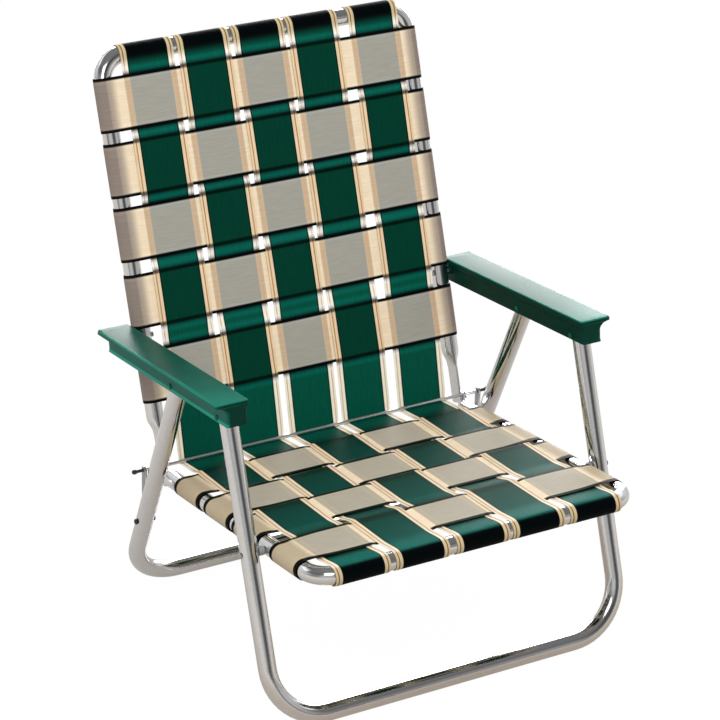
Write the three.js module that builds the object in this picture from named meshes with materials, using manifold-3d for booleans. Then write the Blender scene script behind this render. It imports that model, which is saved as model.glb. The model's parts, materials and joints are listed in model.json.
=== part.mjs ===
import * as THREE from 'three';
import Module from 'manifold-3d';

const wasm = await Module();
wasm.setup();
const { Manifold, Mesh: SolidMesh } = wasm;

// Folding webbed lawn chair, millimetres, +Z up, the front faces -Y.

// Tubes.
const TUBE_R = 12.7;
const TUBE_SIDES = 16;
const BEND_STEPS = 6;
const CORNER_R = 36;
const LEG_BEND_R = 80;

// Half widths from the middle plane to each tube.
const BACK_X = 246;
const SEAT_X = 244.5;
const LEG_X = 279;

// Hinge rod height above the floor, the rod itself, and the play of every running fit.
const HINGE_Z = 222;
const ROD_R = 2.8;
const FIT = 0.3;

// Seat: pitch, drop of the tube axis below the rod, length to the front rail.
const SEAT_PITCH = 6.3;
const SEAT_DROP = 16;
const SEAT_LEN = 465;

// Back: lean, setback of the tube axis behind the rod, length to the top rail.
const BACK_LEAN = 17.2;
const BACK_SET = 9;
const BACK_LEN = 590;

// Flattened tube ends.
const TAB_HALF_T = 2;
const TAB_END = 12;
const TAB_TIP = 0.72;
const TAB_TIP_LEN = 4;
const TAB_SQUARE = 2.6;
const BACK_TAB_H = 12.7;
const BACK_TAB_SHIFT = 1;
const BACK_TAB_LEN = 42;
const BACK_TAPER = 28;
const SEAT_TAB_H = 15.5;
const SEAT_TAB_SHIFT = 6;
const SEAT_TAB_OUT = 8;
const SEAT_EAR_LEN = 4.5;
const SEAT_TAB_LEN = 8;
const SEAT_TAPER = 8.5;

// Front legs: setting of the floor rail ahead of the rod, and lean.
const FRONT_RAIL_Y = -405.7;
const FRONT_LEAN = 17.84;

// Arm pivots: rise of the back pivot over the rod and its setback.
const ARM_PIVOT_RISE = 180;
const ARM_PIVOT_SET = 61;

// Rear legs: floor rail behind the rod, lean, height of the arm pivot and of the link pin.
const REAR_RAIL_Y = 65.9;
const REAR_LEAN = -26;
const REAR_PIVOT_Z = 410;
const LINK_PIN_Z = 140;
const LEG_TOP = 11;

// Short links in the slots of the rear legs.
const LINK_T = 3.5;
const LINK_HALF_W = 5.5;
const LINK_ARC_STEPS = 10;
const SLOT_W = 5.4;
const SLOT_UP = 54;
const SLOT_DOWN = 64;
const SLOT_FRONT = 9;

// Arms: a flat top with a sloped outer band, an overhang with a cove, and a stem hollow below.
const ARM_IN_X = 261;
const ARM_TOP_W = 48.5;
const ARM_CORNER_R = 4.5;
const ARM_H = 37;
const ARM_EDGE = 1.2;
const ARM_BAND_W = 6;
const ARM_BAND_DROP = 1.4;
const ARM_LIP = 5;
const ARM_COVE = 12;
const ARM_COVE_STEPS = 4;
const ARM_STEP = 4;
const ARM_STEM_IN = 3;
const ARM_STEM_W = 30;
const ARM_WALL = 1.7;
const ARM_PLATE = 5;
const ARM_SLOPE = 5.85;
const ARM_REAR = 18.6;
const ARM_FRONT = 366;
const ARM_END_WALL = 3;
const ARM_PIVOT_DEPTH = 16.3;

// Rivets, bolts, spacers and the ends of the hinge rod.
const PIN_R = 3;
const HOLE_R = PIN_R + FIT;
const HEAD_R = 4.4;
const HEAD_T = 1.9;
const HEAD_RIM = 0.45;
const HEAD_CROWN = 0.55;
const SPACER_R = 6.5;
const STUB_R = 2.4;
const STUB_LEN = 13;
const CAP_R = 3.4;
const CAP_LEN = 6;

// Webbing: thickness, clearance off a tube, and how far a strap rises and dips at a crossing.
const WEB_T = 1.2;
const WEB_GAP = 0.45;
const WEAVE = 0.85;
const WEAVE_EASE = 0.9;
const LONG_W = 82;
const LONG_X = [-179, -90, 0.5, 88, 187];
const CROSS_W = 78;
const BACK_ROW_DOWN = [68, 161.5, 253.5, 350, 458.5];
const SEAT_ROW_BEHIND = [372, 277.5, 190, 76];
const WRAP_END = 35;
const WRAP_STEP = 15;
const CREASE_START = 3.2;

// How far a cutting tool runs past the piece that it cuts.
const OVERCUT = 5;

const TUBE_LOOK = { color: 0xc8c9c8, roughness: 0.22, metalness: 1 };
const RIVET_LOOK = { color: 0xc8c9c8, roughness: 0.3, metalness: 1 };
const SPACER_LOOK = { color: 0x9a9c9b, roughness: 0.5, metalness: 0 };
const STEEL_LOOK = { color: 0x3a3a3a, roughness: 0.5, metalness: 1 };
const ARM_LOOK = { color: 0x2c6a52, roughness: 0.35, metalness: 0 };
const GREEN_LOOK = { color: 0x0a4a36, roughness: 0.6, metalness: 0 };
const TAN_LOOK = { color: 0xcbb896, roughness: 0.7, metalness: 0 };

const rad = (deg) => (deg * Math.PI) / 180;
const SIDES = [['left', -1], ['right', 1]];

// Side-plane points are [y, z]; the hinge rod is at y = 0.
const move = (p, d, k) => [p[0] + d[0] * k, p[1] + d[1] * k];
const upOf = (lean) => [Math.sin(rad(lean)), Math.cos(rad(lean))];
const rearOf = (lean) => [Math.cos(rad(lean)), -Math.sin(rad(lean))];

// Where two side-plane lines, each a point and a direction, meet.
function meet(p, d, q, e) {
  const det = e[0] * d[1] - d[0] * e[1];
  const k = (e[0] * (q[1] - p[1]) - (q[0] - p[0]) * e[1]) / det;
  return move(p, d, k);
}

const FLAT_R = TUBE_R * Math.cos(Math.PI / TUBE_SIDES);
const hinge = [0, HINGE_Z];
const frontRail = [FRONT_RAIL_Y, FLAT_R];
const rearRail = [REAR_RAIL_Y, FLAT_R];
const backStart = move(hinge, rearOf(BACK_LEAN), BACK_SET);
const seatStart = move(hinge, upOf(SEAT_PITCH), -SEAT_DROP);
const onRearLeg = (z) => move(rearRail, upOf(REAR_LEAN), (z - FLAT_R) / upOf(REAR_LEAN)[1]);

const seatPivot = meet(seatStart, rearOf(SEAT_PITCH), frontRail, upOf(FRONT_LEAN));
const backPivot = [hinge[0] + ARM_PIVOT_SET, hinge[1] + ARM_PIVOT_RISE];
const frontPivot = [seatPivot[0] + ARM_PIVOT_SET, seatPivot[1] + ARM_PIVOT_RISE];
const rearPivot = onRearLeg(REAR_PIVOT_Z);
const linkPin = onRearLeg(LINK_PIN_Z);
const armStart = move(backPivot, upOf(ARM_SLOPE), ARM_PIVOT_DEPTH);
const linkLean = (Math.atan2(hinge[0] - linkPin[0], hinge[1] - linkPin[1]) * 180) / Math.PI;
const linkLen = Math.hypot(hinge[0] - linkPin[0], hinge[1] - linkPin[1]);

// Each moving body is a group at a side-plane point, leaned back about X: its z runs up, its y to the rear.
const part = new THREE.Group();
part.name = 'folding_webbed_lawn_chair';
const chair = new THREE.Group();
chair.name = 'chair_on_floor';
part.add(chair);

function bodyAt(name, start, lean) {
  const body = new THREE.Group();
  body.name = name;
  body.position.set(0, start[0], start[1]);
  body.rotation.x = -rad(lean);
  chair.add(body);
  return body;
}

const rearLegs = bodyAt('rear_legs', rearRail, REAR_LEAN);
const frontLegs = bodyAt('front_legs', frontRail, FRONT_LEAN);
const back = bodyAt('back', backStart, BACK_LEAN);
const seat = bodyAt('seat', seatStart, SEAT_PITCH);
const arms = bodyAt('arms', armStart, ARM_SLOPE);
const links = bodyAt('links', linkPin, linkLean);

// A side-plane point in a body's own axes.
function within(body, p) {
  const c = Math.cos(body.rotation.x);
  const s = Math.sin(body.rotation.x);
  const dy = p[0] - body.position.y;
  const dz = p[1] - body.position.z;
  return [dy * c + dz * s, dz * c - dy * s];
}

// Turns the faces outward when the signed volume comes out negative.
function outward(g) {
  const p = g.getAttribute('position');
  const idx = g.index.array;
  const a = new THREE.Vector3();
  const b = new THREE.Vector3();
  const c = new THREE.Vector3();
  let volume = 0;
  for (let i = 0; i < idx.length; i += 3) {
    a.fromBufferAttribute(p, idx[i]);
    b.fromBufferAttribute(p, idx[i + 1]);
    c.fromBufferAttribute(p, idx[i + 2]);
    volume += a.dot(b.cross(c));
  }
  if (volume < 0) {
    const flipped = [];
    for (let i = 0; i < idx.length; i += 3) {
      flipped.push(idx[i], idx[i + 2], idx[i + 1]);
    }
    g.setIndex(flipped);
  }
  return g;
}

function geometryFrom(positions, indices) {
  const g = new THREE.BufferGeometry();
  g.setAttribute('position', new THREE.Float32BufferAttribute(positions, 3));
  g.setIndex(indices);
  return g;
}

// Closed solid from stacked rings that all hold the same number of points.
function loft(rings) {
  const n = rings[0].length;
  const idx = [];
  for (let i = 0; i + 1 < rings.length; i += 1) {
    for (let j = 0; j < n; j += 1) {
      const a = i * n + j;
      const b = i * n + ((j + 1) % n);
      idx.push(a, b, b + n, a, b + n, a + n);
    }
  }
  const last = (rings.length - 1) * n;
  for (let j = 1; j + 1 < n; j += 1) {
    idx.push(0, j + 1, j);
    idx.push(last, last + j, last + j + 1);
  }
  return outward(geometryFrom(rings.flat(2), idx));
}

// Joins equal corner points so that the solid is watertight.
function weld(g) {
  const src = g.index ? g.toNonIndexed() : g;
  const p = src.getAttribute('position');
  const perUnit = 1e4;
  const seen = new Map();
  const pos = [];
  const idx = [];
  for (let i = 0; i < p.count; i += 1) {
    const v = [p.getX(i), p.getY(i), p.getZ(i)];
    const key = v.map((k) => Math.round(k * perUnit)).join(',');
    if (!seen.has(key)) {
      seen.set(key, pos.length / 3);
      pos.push(...v);
    }
    idx.push(seen.get(key));
  }
  const keep = [];
  for (let i = 0; i < idx.length; i += 3) {
    if (idx[i] !== idx[i + 1] && idx[i + 1] !== idx[i + 2] && idx[i] !== idx[i + 2]) {
      keep.push(idx[i], idx[i + 1], idx[i + 2]);
    }
  }
  return outward(geometryFrom(pos, keep));
}

function toSolid(g) {
  const w = weld(g);
  const mesh = new SolidMesh({
    numProp: 3,
    vertProperties: new Float32Array(w.getAttribute('position').array),
    triVerts: new Uint32Array(w.index.array),
  });
  mesh.merge();
  return new Manifold(mesh);
}

function fromSolid(solid) {
  const mesh = solid.getMesh();
  const pos = [];
  for (let i = 0; i < mesh.numVert; i += 1) {
    for (let k = 0; k < 3; k += 1) {
      pos.push(mesh.vertProperties[i * mesh.numProp + k]);
    }
  }
  return geometryFrom(pos, Array.from(mesh.triVerts));
}

// What is left of a solid after tools are cut out of it.
function cut(g, tools) {
  let solid = toSolid(g);
  for (const tool of tools) {
    solid = solid.subtract(toSolid(tool));
  }
  return fromSolid(solid);
}

// Puts a piece on a body, moved to a point of the body's own y and z.
function add(body, name, g, look, at = [0, 0], x = 0) {
  const shape = weld(g);
  shape.computeVertexNormals();
  const mesh = new THREE.Mesh(shape, new THREE.MeshStandardMaterial(look));
  mesh.name = name;
  mesh.position.set(x, at[0], at[1]);
  body.add(mesh);
  return mesh;
}

// Round bar along X between two x values, at a y and z.
function barX(x0, x1, r, at = [0, 0]) {
  const g = new THREE.CylinderGeometry(r, r, Math.abs(x1 - x0), TUBE_SIDES);
  g.rotateZ(Math.PI / 2);
  g.translate((x0 + x1) / 2, at[0], at[1]);
  return g;
}

// Turned piece along X: profile pairs of [x, radius] on one side of the chair.
function turnedX(side, profile) {
  const ends = [profile[0][0], profile[profile.length - 1][0]];
  const outline = [[ends[0], 0], ...profile, [ends[1], 0]];
  const g = new THREE.LatheGeometry(outline.map(([x, r]) => new THREE.Vector2(r, x)), TUBE_SIDES);
  g.rotateZ(-side * (Math.PI / 2));
  return g;
}

// Rivet along X: a domed head outside each of two faces.
function rivet(side, inner, outer) {
  const head = [[0, HEAD_R], [HEAD_RIM * HEAD_T, HEAD_R], [HEAD_T, HEAD_CROWN * HEAD_R]];
  const low = inner - FIT;
  const high = outer + FIT;
  return turnedX(side, [
    ...head.map(([rise, r]) => [low - rise, r]).reverse(),
    [low, PIN_R],
    [high, PIN_R],
    ...head.map(([rise, r]) => [high + rise, r]),
  ]);
}

function ringX(side, x0, x1, r, bore) {
  return cut(barX(side * x0, side * x1, r), [barX(side * (x0 - OVERCUT), side * (x1 + OVERCUT), bore)]);
}

// Bores through both tubes of a frame at the same y and z.
function bores(x, at) {
  const reach = TUBE_R + OVERCUT;
  return SIDES.map(([, s]) => barX(s * (x - reach), s * (x + reach), HOLE_R, at));
}

// Path of a U frame in its own plane: [x, t] with the tangent, from one end to the other.
function uPath(half, ends, top, bend) {
  const sign = Math.sign(top - ends[0]);
  const pts = ends.map((t) => ({ x: -half, t, dx: 0, dt: sign, end: t }));
  for (let i = 0; i <= BEND_STEPS; i += 1) {
    const a = (i / BEND_STEPS) * (Math.PI / 2);
    pts.push({
      x: -(half - bend) - bend * Math.cos(a),
      t: top - sign * bend * (1 - Math.sin(a)),
      dx: Math.sin(a),
      dt: sign * Math.cos(a),
      end: null,
    });
  }
  const mirrored = pts.map((p) => ({ ...p, x: -p.x, dt: -p.dt })).reverse();
  return pts.concat(mirrored);
}

// Places on a body from x, a run t along the frame and a lift n off its front or upper face.
const upright = (x, t, n) => [x, -n, t];
const level = (x, t, n) => [x, -t, n];

// Tube swept along a U path; shape(p) may flatten the round section near the ends.
function uTube(path, place, phase, shape) {
  const rings = path.map((p) => {
    const ring = [];
    const end = shape ? shape(p) : null;
    for (let j = 0; j < TUBE_SIDES; j += 1) {
      const a = phase + ((j + 0.5) / TUBE_SIDES) * Math.PI * 2;
      let u = TUBE_R * Math.cos(a);
      let v = TUBE_R * Math.sin(a);
      let out = 0;
      if (end) {
        const flatU = Math.max(-1, Math.min(1, Math.cos(a) * TAB_SQUARE)) * TAB_HALF_T;
        u = u * (1 - end.flat) + flatU * end.flat;
        v = v * (1 - end.flat) + (Math.sin(a) * end.high + end.shift) * end.flat;
        out = Math.sign(p.x) * end.out * end.flat;
      }
      ring.push(place(p.x + p.dt * u + out, p.t - p.dx * u, v));
    }
    return ring;
  });
  return loft(rings);
}

// Section change of a flattened end: flat over the tab, round past the taper, and raised over the ear.
function endShape(tab, taper, ear, tallest, shift, out) {
  return (p) => {
    if (p.end === null || p.end >= tab + taper) {
      return null;
    }
    const flat = p.end <= tab ? 1 : 1 - (p.end - tab) / taper;
    const rise = p.end <= ear ? 1 : Math.max(0, 1 - (p.end - ear) / (tab - ear));
    const high = TUBE_R + (tallest - TUBE_R) * rise;
    return { flat, high: p.end <= -TAB_END ? high * TAB_TIP : high, shift: shift * rise, out };
  };
}

const tabEnds = (...more) => [-TAB_END, -TAB_END + TAB_TIP_LEN, ...more];
const rodBore = (body) => barX(-LEG_X, LEG_X, ROD_R + FIT, within(body, hinge));

// Back frame.
const backTube = uTube(
  uPath(BACK_X, tabEnds(BACK_TAB_LEN, BACK_TAB_LEN + BACK_TAPER), BACK_LEN, CORNER_R),
  upright,
  0,
  endShape(BACK_TAB_LEN, BACK_TAPER, BACK_TAB_LEN, BACK_TAB_H, BACK_TAB_SHIFT, 0),
);
const backBores = [rodBore(back), ...bores(BACK_X, within(back, backPivot))];
add(back, 'back_frame', cut(backTube, backBores), TUBE_LOOK);

// Seat frame.
const seatTube = uTube(
  uPath(SEAT_X, tabEnds(SEAT_EAR_LEN, SEAT_TAB_LEN, SEAT_TAB_LEN + SEAT_TAPER), SEAT_LEN, CORNER_R),
  level,
  0,
  endShape(SEAT_TAB_LEN, SEAT_TAPER, SEAT_EAR_LEN, SEAT_TAB_H, SEAT_TAB_SHIFT, SEAT_TAB_OUT),
);
const seatBores = [rodBore(seat), ...bores(SEAT_X, within(seat, seatPivot))];
add(seat, 'seat_frame', cut(seatTube, seatBores), TUBE_LOOK);

// Leg frames; the floor facet of each rail lies flat.
function legTube(body, topPivot, lean) {
  const top = within(body, topPivot)[1] + LEG_TOP;
  return uTube(uPath(LEG_X, [top], 0, LEG_BEND_R), upright, -rad(lean), null);
}

// Slot in the rear of a rear leg for the short link.
function slotTool(side) {
  const deep = SLOT_FRONT + TUBE_R + OVERCUT;
  const g = new THREE.BoxGeometry(SLOT_W, deep, SLOT_UP + SLOT_DOWN);
  g.translate(side * LEG_X, deep / 2 - SLOT_FRONT, within(rearLegs, linkPin)[1] + (SLOT_UP - SLOT_DOWN) / 2);
  return g;
}

const frontCuts = [seatPivot, frontPivot].flatMap((p) => bores(LEG_X, within(frontLegs, p)));
add(frontLegs, 'front_leg_frame', cut(legTube(frontLegs, frontPivot, FRONT_LEAN), frontCuts), TUBE_LOOK);
const rearCuts = [rearPivot, linkPin].flatMap((p) => bores(LEG_X, within(rearLegs, p)));
rearCuts.push(...SIDES.map(([, s]) => slotTool(s)));
add(rearLegs, 'rear_leg_frame', cut(legTube(rearLegs, rearPivot, REAR_LEAN), rearCuts), TUBE_LOOK);

// Arm section: x outward from the inner lip, y up from the top face.
function armSection() {
  const w = ARM_TOP_W;
  const stemOut = ARM_STEM_IN + ARM_STEM_W;
  const lipBottom = -ARM_LIP + ARM_EDGE;
  const pts = [[0, -ARM_EDGE], [ARM_EDGE, 0], [w - ARM_BAND_W, 0], [w, -ARM_BAND_DROP], [w, lipBottom]];
  for (let i = 0; i <= ARM_COVE_STEPS; i += 1) {
    const turn = (i / ARM_COVE_STEPS) * (Math.PI / 2);
    const lipX = w - ARM_EDGE;
    pts.push([lipX - (lipX - stemOut) * Math.sin(turn), -ARM_LIP - ARM_COVE * (1 - Math.cos(turn))]);
  }
  pts.push([stemOut, -ARM_H + ARM_EDGE], [stemOut - ARM_EDGE, -ARM_H]);
  pts.push([ARM_STEM_IN + ARM_EDGE, -ARM_H], [ARM_STEM_IN, -ARM_H + ARM_EDGE]);
  pts.push([ARM_STEM_IN, -ARM_LIP - ARM_STEP], [ARM_EDGE, -ARM_LIP], [0, lipBottom]);
  return new THREE.Shape(pts.map(([x, y]) => new THREE.Vector2(x, y)));
}

// Arm seen from above, with rounded corners: x outward, y to the rear.
function armPlan() {
  const r = ARM_CORNER_R;
  const plan = new THREE.Shape();
  plan.absarc(ARM_TOP_W - r, ARM_REAR - r, r, 0, Math.PI / 2);
  plan.absarc(r, ARM_REAR - r, r, Math.PI / 2, Math.PI);
  plan.absarc(r, r - ARM_FRONT, r, Math.PI, 1.5 * Math.PI);
  plan.absarc(ARM_TOP_W - r, r - ARM_FRONT, r, 1.5 * Math.PI, 2 * Math.PI);
  return plan;
}

// Right arm about its own inner lip, open below; the left one is its mirror image.
function armSolid(side) {
  const length = ARM_FRONT + ARM_REAR;
  const bar = new THREE.ExtrudeGeometry(armSection(), { depth: length, bevelEnabled: false });
  bar.translate(0, 0, -ARM_REAR);
  bar.rotateX(Math.PI / 2);
  const depth = ARM_H + 2 * OVERCUT;
  const block = new THREE.ExtrudeGeometry(armPlan(), { depth, bevelEnabled: false, curveSegments: 2 });
  block.translate(0, 0, OVERCUT - depth);
  const body = fromSolid(toSolid(bar).intersect(toSolid(block)));
  const cavity = new THREE.BoxGeometry(ARM_STEM_W - 2 * ARM_WALL, length - 2 * ARM_END_WALL, ARM_H);
  cavity.translate(ARM_STEM_IN + ARM_STEM_W / 2, (ARM_REAR - ARM_FRONT) / 2, -ARM_H / 2 - ARM_PLATE);
  const inner = ARM_STEM_IN + ARM_STEM_W / 2;
  const g = cut(body, [
    cavity,
    barX(-OVERCUT, inner, HOLE_R, within(arms, backPivot)),
    barX(-OVERCUT, ARM_TOP_W, HOLE_R, within(arms, frontPivot)),
    barX(-OVERCUT, ARM_TOP_W, HOLE_R, within(arms, rearPivot)),
  ]);
  g.scale(side, 1, 1);
  return g;
}

const stemIn = ARM_IN_X + ARM_STEM_IN;
const stemOut = stemIn + ARM_STEM_W;
const legIn = LEG_X - TUBE_R;
const legOut = LEG_X + TUBE_R;

for (const [name, s] of SIDES) {
  const atBack = within(arms, backPivot);
  const atSeat = within(seat, seatPivot);
  const armSpacer = ringX(s, BACK_X + TUBE_R + FIT, stemIn - FIT, SPACER_R, HOLE_R);
  const seatSpacer = ringX(s, SEAT_X + TUBE_R + FIT, legIn - FIT, SPACER_R, HOLE_R);
  add(arms, `${name}_arm`, armSolid(s), ARM_LOOK, [0, 0], s * ARM_IN_X);
  add(arms, `${name}_arm_back_rivet`, rivet(s, BACK_X - TUBE_R, stemIn + ARM_WALL), RIVET_LOOK, atBack);
  add(arms, `${name}_arm_spacer`, armSpacer, ARM_LOOK, atBack);
  add(arms, `${name}_arm_front_rivet`, rivet(s, stemIn, stemOut), RIVET_LOOK, within(arms, frontPivot));
  add(arms, `${name}_arm_rear_rivet`, rivet(s, stemIn, stemOut), RIVET_LOOK, within(arms, rearPivot));
  add(seat, `${name}_seat_bolt`, rivet(s, SEAT_X - TUBE_R, legOut), RIVET_LOOK, atSeat);
  add(seat, `${name}_seat_spacer`, seatSpacer, SPACER_LOOK, atSeat);
  add(rearLegs, `${name}_link_pin`, rivet(s, legIn, legOut), STEEL_LOOK, within(rearLegs, linkPin));
}

// Hinge rod, the short links from it to the rear legs, and the caps on its ends.
const rodEnd = LEG_X - LINK_T / 2 - 2 * FIT;
add(seat, 'hinge_rod', barX(-rodEnd, rodEnd, ROD_R), RIVET_LOOK, within(seat, hinge));

// Plate with round ends, from the link pin up to the rod.
function linkSolid() {
  const plate = new THREE.Shape();
  plate.absarc(0, 0, LINK_HALF_W, Math.PI, 2 * Math.PI);
  plate.absarc(0, linkLen, LINK_HALF_W, 0, Math.PI);
  const g = new THREE.ExtrudeGeometry(plate, {
    depth: LINK_T,
    bevelEnabled: false,
    curveSegments: LINK_ARC_STEPS / 2,
  });
  g.translate(0, 0, -LINK_T / 2);
  g.rotateX(Math.PI / 2);
  g.rotateZ(Math.PI / 2);
  return cut(g, [barX(-OVERCUT, OVERCUT, HOLE_R), barX(-OVERCUT, OVERCUT, HOLE_R, [0, linkLen])]);
}

for (const [name, s] of SIDES) {
  add(links, `${name}_link`, linkSolid(), STEEL_LOOK, [0, 0], s * LEG_X);
  const eyeOut = LEG_X + LINK_T / 2 + FIT;
  const stubOut = LEG_X + STUB_LEN;
  const cap = turnedX(s, [
    [LEG_X - LINK_T / 2 - FIT, PIN_R],
    [eyeOut, PIN_R],
    [eyeOut, STUB_R],
    [stubOut, STUB_R],
    [stubOut, CAP_R],
    [stubOut + CAP_LEN, CAP_R],
  ]);
  add(links, `${name}_rod_cap`, cap, STEEL_LOOK, within(links, hinge));
}

// Woven straps: a flat ribbon that follows a bent line in one plane.
const WRAP_R = TUBE_R + WEB_GAP + WEB_T / 2;
const ROD_CLEAR = ROD_R + WEB_GAP + WEB_T / 2;

function unit(v) {
  const size = Math.hypot(v[0], v[1]);
  return size > 0 ? [v[0] / size, v[1] / size] : [0, 0];
}

function ribbon(path, width, place) {
  const sharpest = 0.7;
  const rings = path.map((p, i) => {
    const a = path[Math.max(i - 1, 0)];
    const b = path[Math.min(i + 1, path.length - 1)];
    const before = unit([p[0] - a[0], p[1] - a[1]]);
    const after = unit([b[0] - p[0], b[1] - p[1]]);
    const d = unit([before[0] + after[0], before[1] + after[1]]);
    const leg = i > 0 ? before : after;
    const h = WEB_T / 2 / Math.max(sharpest, d[0] * leg[0] + d[1] * leg[1]);
    const n = [-d[1] * h, d[0] * h];
    return [
      place(p[0] + n[0], p[1] + n[1], -width / 2),
      place(p[0] + n[0], p[1] + n[1], width / 2),
      place(p[0] - n[0], p[1] - n[1], width / 2),
      place(p[0] - n[0], p[1] - n[1], -width / 2),
    ];
  });
  return loft(rings);
}

// Turn around a tube centred at [c, 0], from the far side to the face; side is the way outward.
function wrap(c, side, end) {
  const pts = [];
  for (let a = 180 + end; a > 0; a -= WRAP_STEP) {
    pts.push([c + side * WRAP_R * Math.sin(rad(a)), WRAP_R * Math.cos(rad(a))]);
  }
  pts.push([c, WRAP_R]);
  return pts;
}

// Run over the crossing straps: their centres, half width, and whether it lies over each.
function weaveRun(centres, half, overs) {
  return centres.flatMap((c, i) => {
    const lift = WRAP_R + (overs[i] ? WEAVE : -WEAVE);
    return [[c - half - WEAVE_EASE, lift], [c + half + WEAVE_EASE, lift]];
  });
}

const backRows = BACK_ROW_DOWN.map((down) => BACK_LEN - down);
const seatRows = SEAT_ROW_BEHIND.map((behind) => SEAT_LEN - behind);
const isEven = (i) => i % 2 === 0;

// A cross strap round both side tubes; it lies over every second long strap.
function crossStrap(half, row, overFirst, place) {
  const path = [
    ...wrap(-half, -1, WRAP_END),
    ...weaveRun(LONG_X, LONG_W / 2, LONG_X.map((x, j) => isEven(j) === overFirst)),
    ...wrap(half, 1, WRAP_END).reverse(),
  ];
  return ribbon(path, CROSS_W, (x, n, w) => place(x, row + w, n));
}

// A long strap's run from the crease to its rail.
function longStrap(x, drop, rows, overs, rail, place) {
  const path = [
    [CREASE_START, drop - ROD_CLEAR],
    ...weaveRun(rows, CROSS_W / 2, overs),
    ...wrap(rail, 1, 0).reverse(),
  ];
  return ribbon(path, LONG_W, (t, n, w) => place(x + w, t, n));
}

backRows.forEach((row, i) => {
  add(back, `back_cross_strap_${i + 1}`, crossStrap(BACK_X, row, isEven(i), upright), TAN_LOOK);
});
seatRows.forEach((row, i) => {
  add(seat, `seat_cross_strap_${i + 1}`, crossStrap(SEAT_X, row, !isEven(i), level), TAN_LOOK);
});
LONG_X.forEach((x, j) => {
  const rowsUp = [...backRows].reverse();
  const backOvers = rowsUp.map((row, i) => isEven(i) !== isEven(j));
  const seatOvers = seatRows.map((row, i) => isEven(i) === isEven(j));
  const upper = longStrap(x, BACK_SET, rowsUp, backOvers, BACK_LEN, upright);
  const lower = longStrap(x, SEAT_DROP, seatRows, seatOvers, SEAT_LEN, level);
  add(back, `back_long_strap_${j + 1}`, upper, GREEN_LOOK);
  add(seat, `seat_long_strap_${j + 1}`, lower, GREEN_LOOK);
});

// The origin is under the middle of the chair, on the floor.
part.updateMatrixWorld(true);
const box = new THREE.Box3().setFromObject(chair, true);
chair.position.set(0, -(box.min.y + box.max.y) / 2, -box.min.z);

export default part;
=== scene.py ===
"""Looks of a folding lawn chair: bent tube loops, woven straps and moulded arms.

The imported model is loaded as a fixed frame. Sizes are in metres in that frame, +Z up, the front towards -Y.
"""

import json
import logging
import math
from dataclasses import dataclass
from enum import Enum
from typing import Callable, ClassVar, Sequence

import bmesh
import bpy
from mathutils import Matrix, Vector


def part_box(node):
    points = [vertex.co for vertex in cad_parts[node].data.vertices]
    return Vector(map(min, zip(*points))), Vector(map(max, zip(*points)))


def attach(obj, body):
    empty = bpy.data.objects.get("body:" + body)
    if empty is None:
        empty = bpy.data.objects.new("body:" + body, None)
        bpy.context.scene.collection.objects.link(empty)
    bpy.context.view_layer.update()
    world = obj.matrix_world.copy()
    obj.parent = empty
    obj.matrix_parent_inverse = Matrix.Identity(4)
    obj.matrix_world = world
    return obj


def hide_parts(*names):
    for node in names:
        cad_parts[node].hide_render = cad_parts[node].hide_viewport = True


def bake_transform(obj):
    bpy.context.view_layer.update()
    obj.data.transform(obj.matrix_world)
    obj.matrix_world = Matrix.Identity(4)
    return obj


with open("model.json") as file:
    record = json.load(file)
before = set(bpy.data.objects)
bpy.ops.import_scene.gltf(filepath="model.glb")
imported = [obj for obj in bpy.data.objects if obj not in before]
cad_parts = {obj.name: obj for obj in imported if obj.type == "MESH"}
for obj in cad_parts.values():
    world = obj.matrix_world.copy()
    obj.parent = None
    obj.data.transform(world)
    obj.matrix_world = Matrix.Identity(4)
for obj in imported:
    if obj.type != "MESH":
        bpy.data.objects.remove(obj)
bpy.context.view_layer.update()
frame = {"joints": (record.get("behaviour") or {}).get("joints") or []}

MM = 0.001
NEAR = 1e-5
TINY = 1e-6
LOG = logging.getLogger("lawn_chair")

Piece = bpy.types.Object
Socket = bpy.types.NodeSocket
Pair = tuple[float, float]
Colour = tuple[float, float, float]
Knots = tuple[Pair, ...]
Stops = tuple[tuple[float, Colour], ...]


class Side(Enum):
    """The two sides of the chair, as the sign of X."""

    LEFT = -1
    RIGHT = 1

    @property
    def label(self) -> str:
        """The side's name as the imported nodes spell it."""
        return self.name.lower()


class Weave(Enum):
    """Which way a strap passes the one it crosses."""

    OVER = 1
    UNDER = -1


def ease(share: float) -> float:
    """A smooth step from 0 to 1."""
    share = min(1.0, max(0.0, share))
    return share * share * (3 - 2 * share)


def between(knots: Knots, at: float) -> float:
    """A value from knots that straight lines join.

    Args:
        knots: pairs of a place and the value there, in order.
        at: the place asked for.

    Returns:
        The value there, or the nearest end's.
    """
    for (low, before), (high, after) in zip(knots, knots[1:]):
        if at <= high:
            share = max(0.0, (at - low) / (high - low))
            return before + (after - before) * share
    return knots[-1][1]


# Modelling bench


def clear_selection() -> None:
    """Deselects everything, so that an operator acts only on what comes next."""
    bpy.ops.object.select_all(action="DESELECT")


def make_active(obj: Piece) -> None:
    """Makes one object the selected and active one.

    Args:
        obj: the object.
    """
    clear_selection()
    obj.select_set(True)
    bpy.context.view_layer.objects.active = obj


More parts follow.
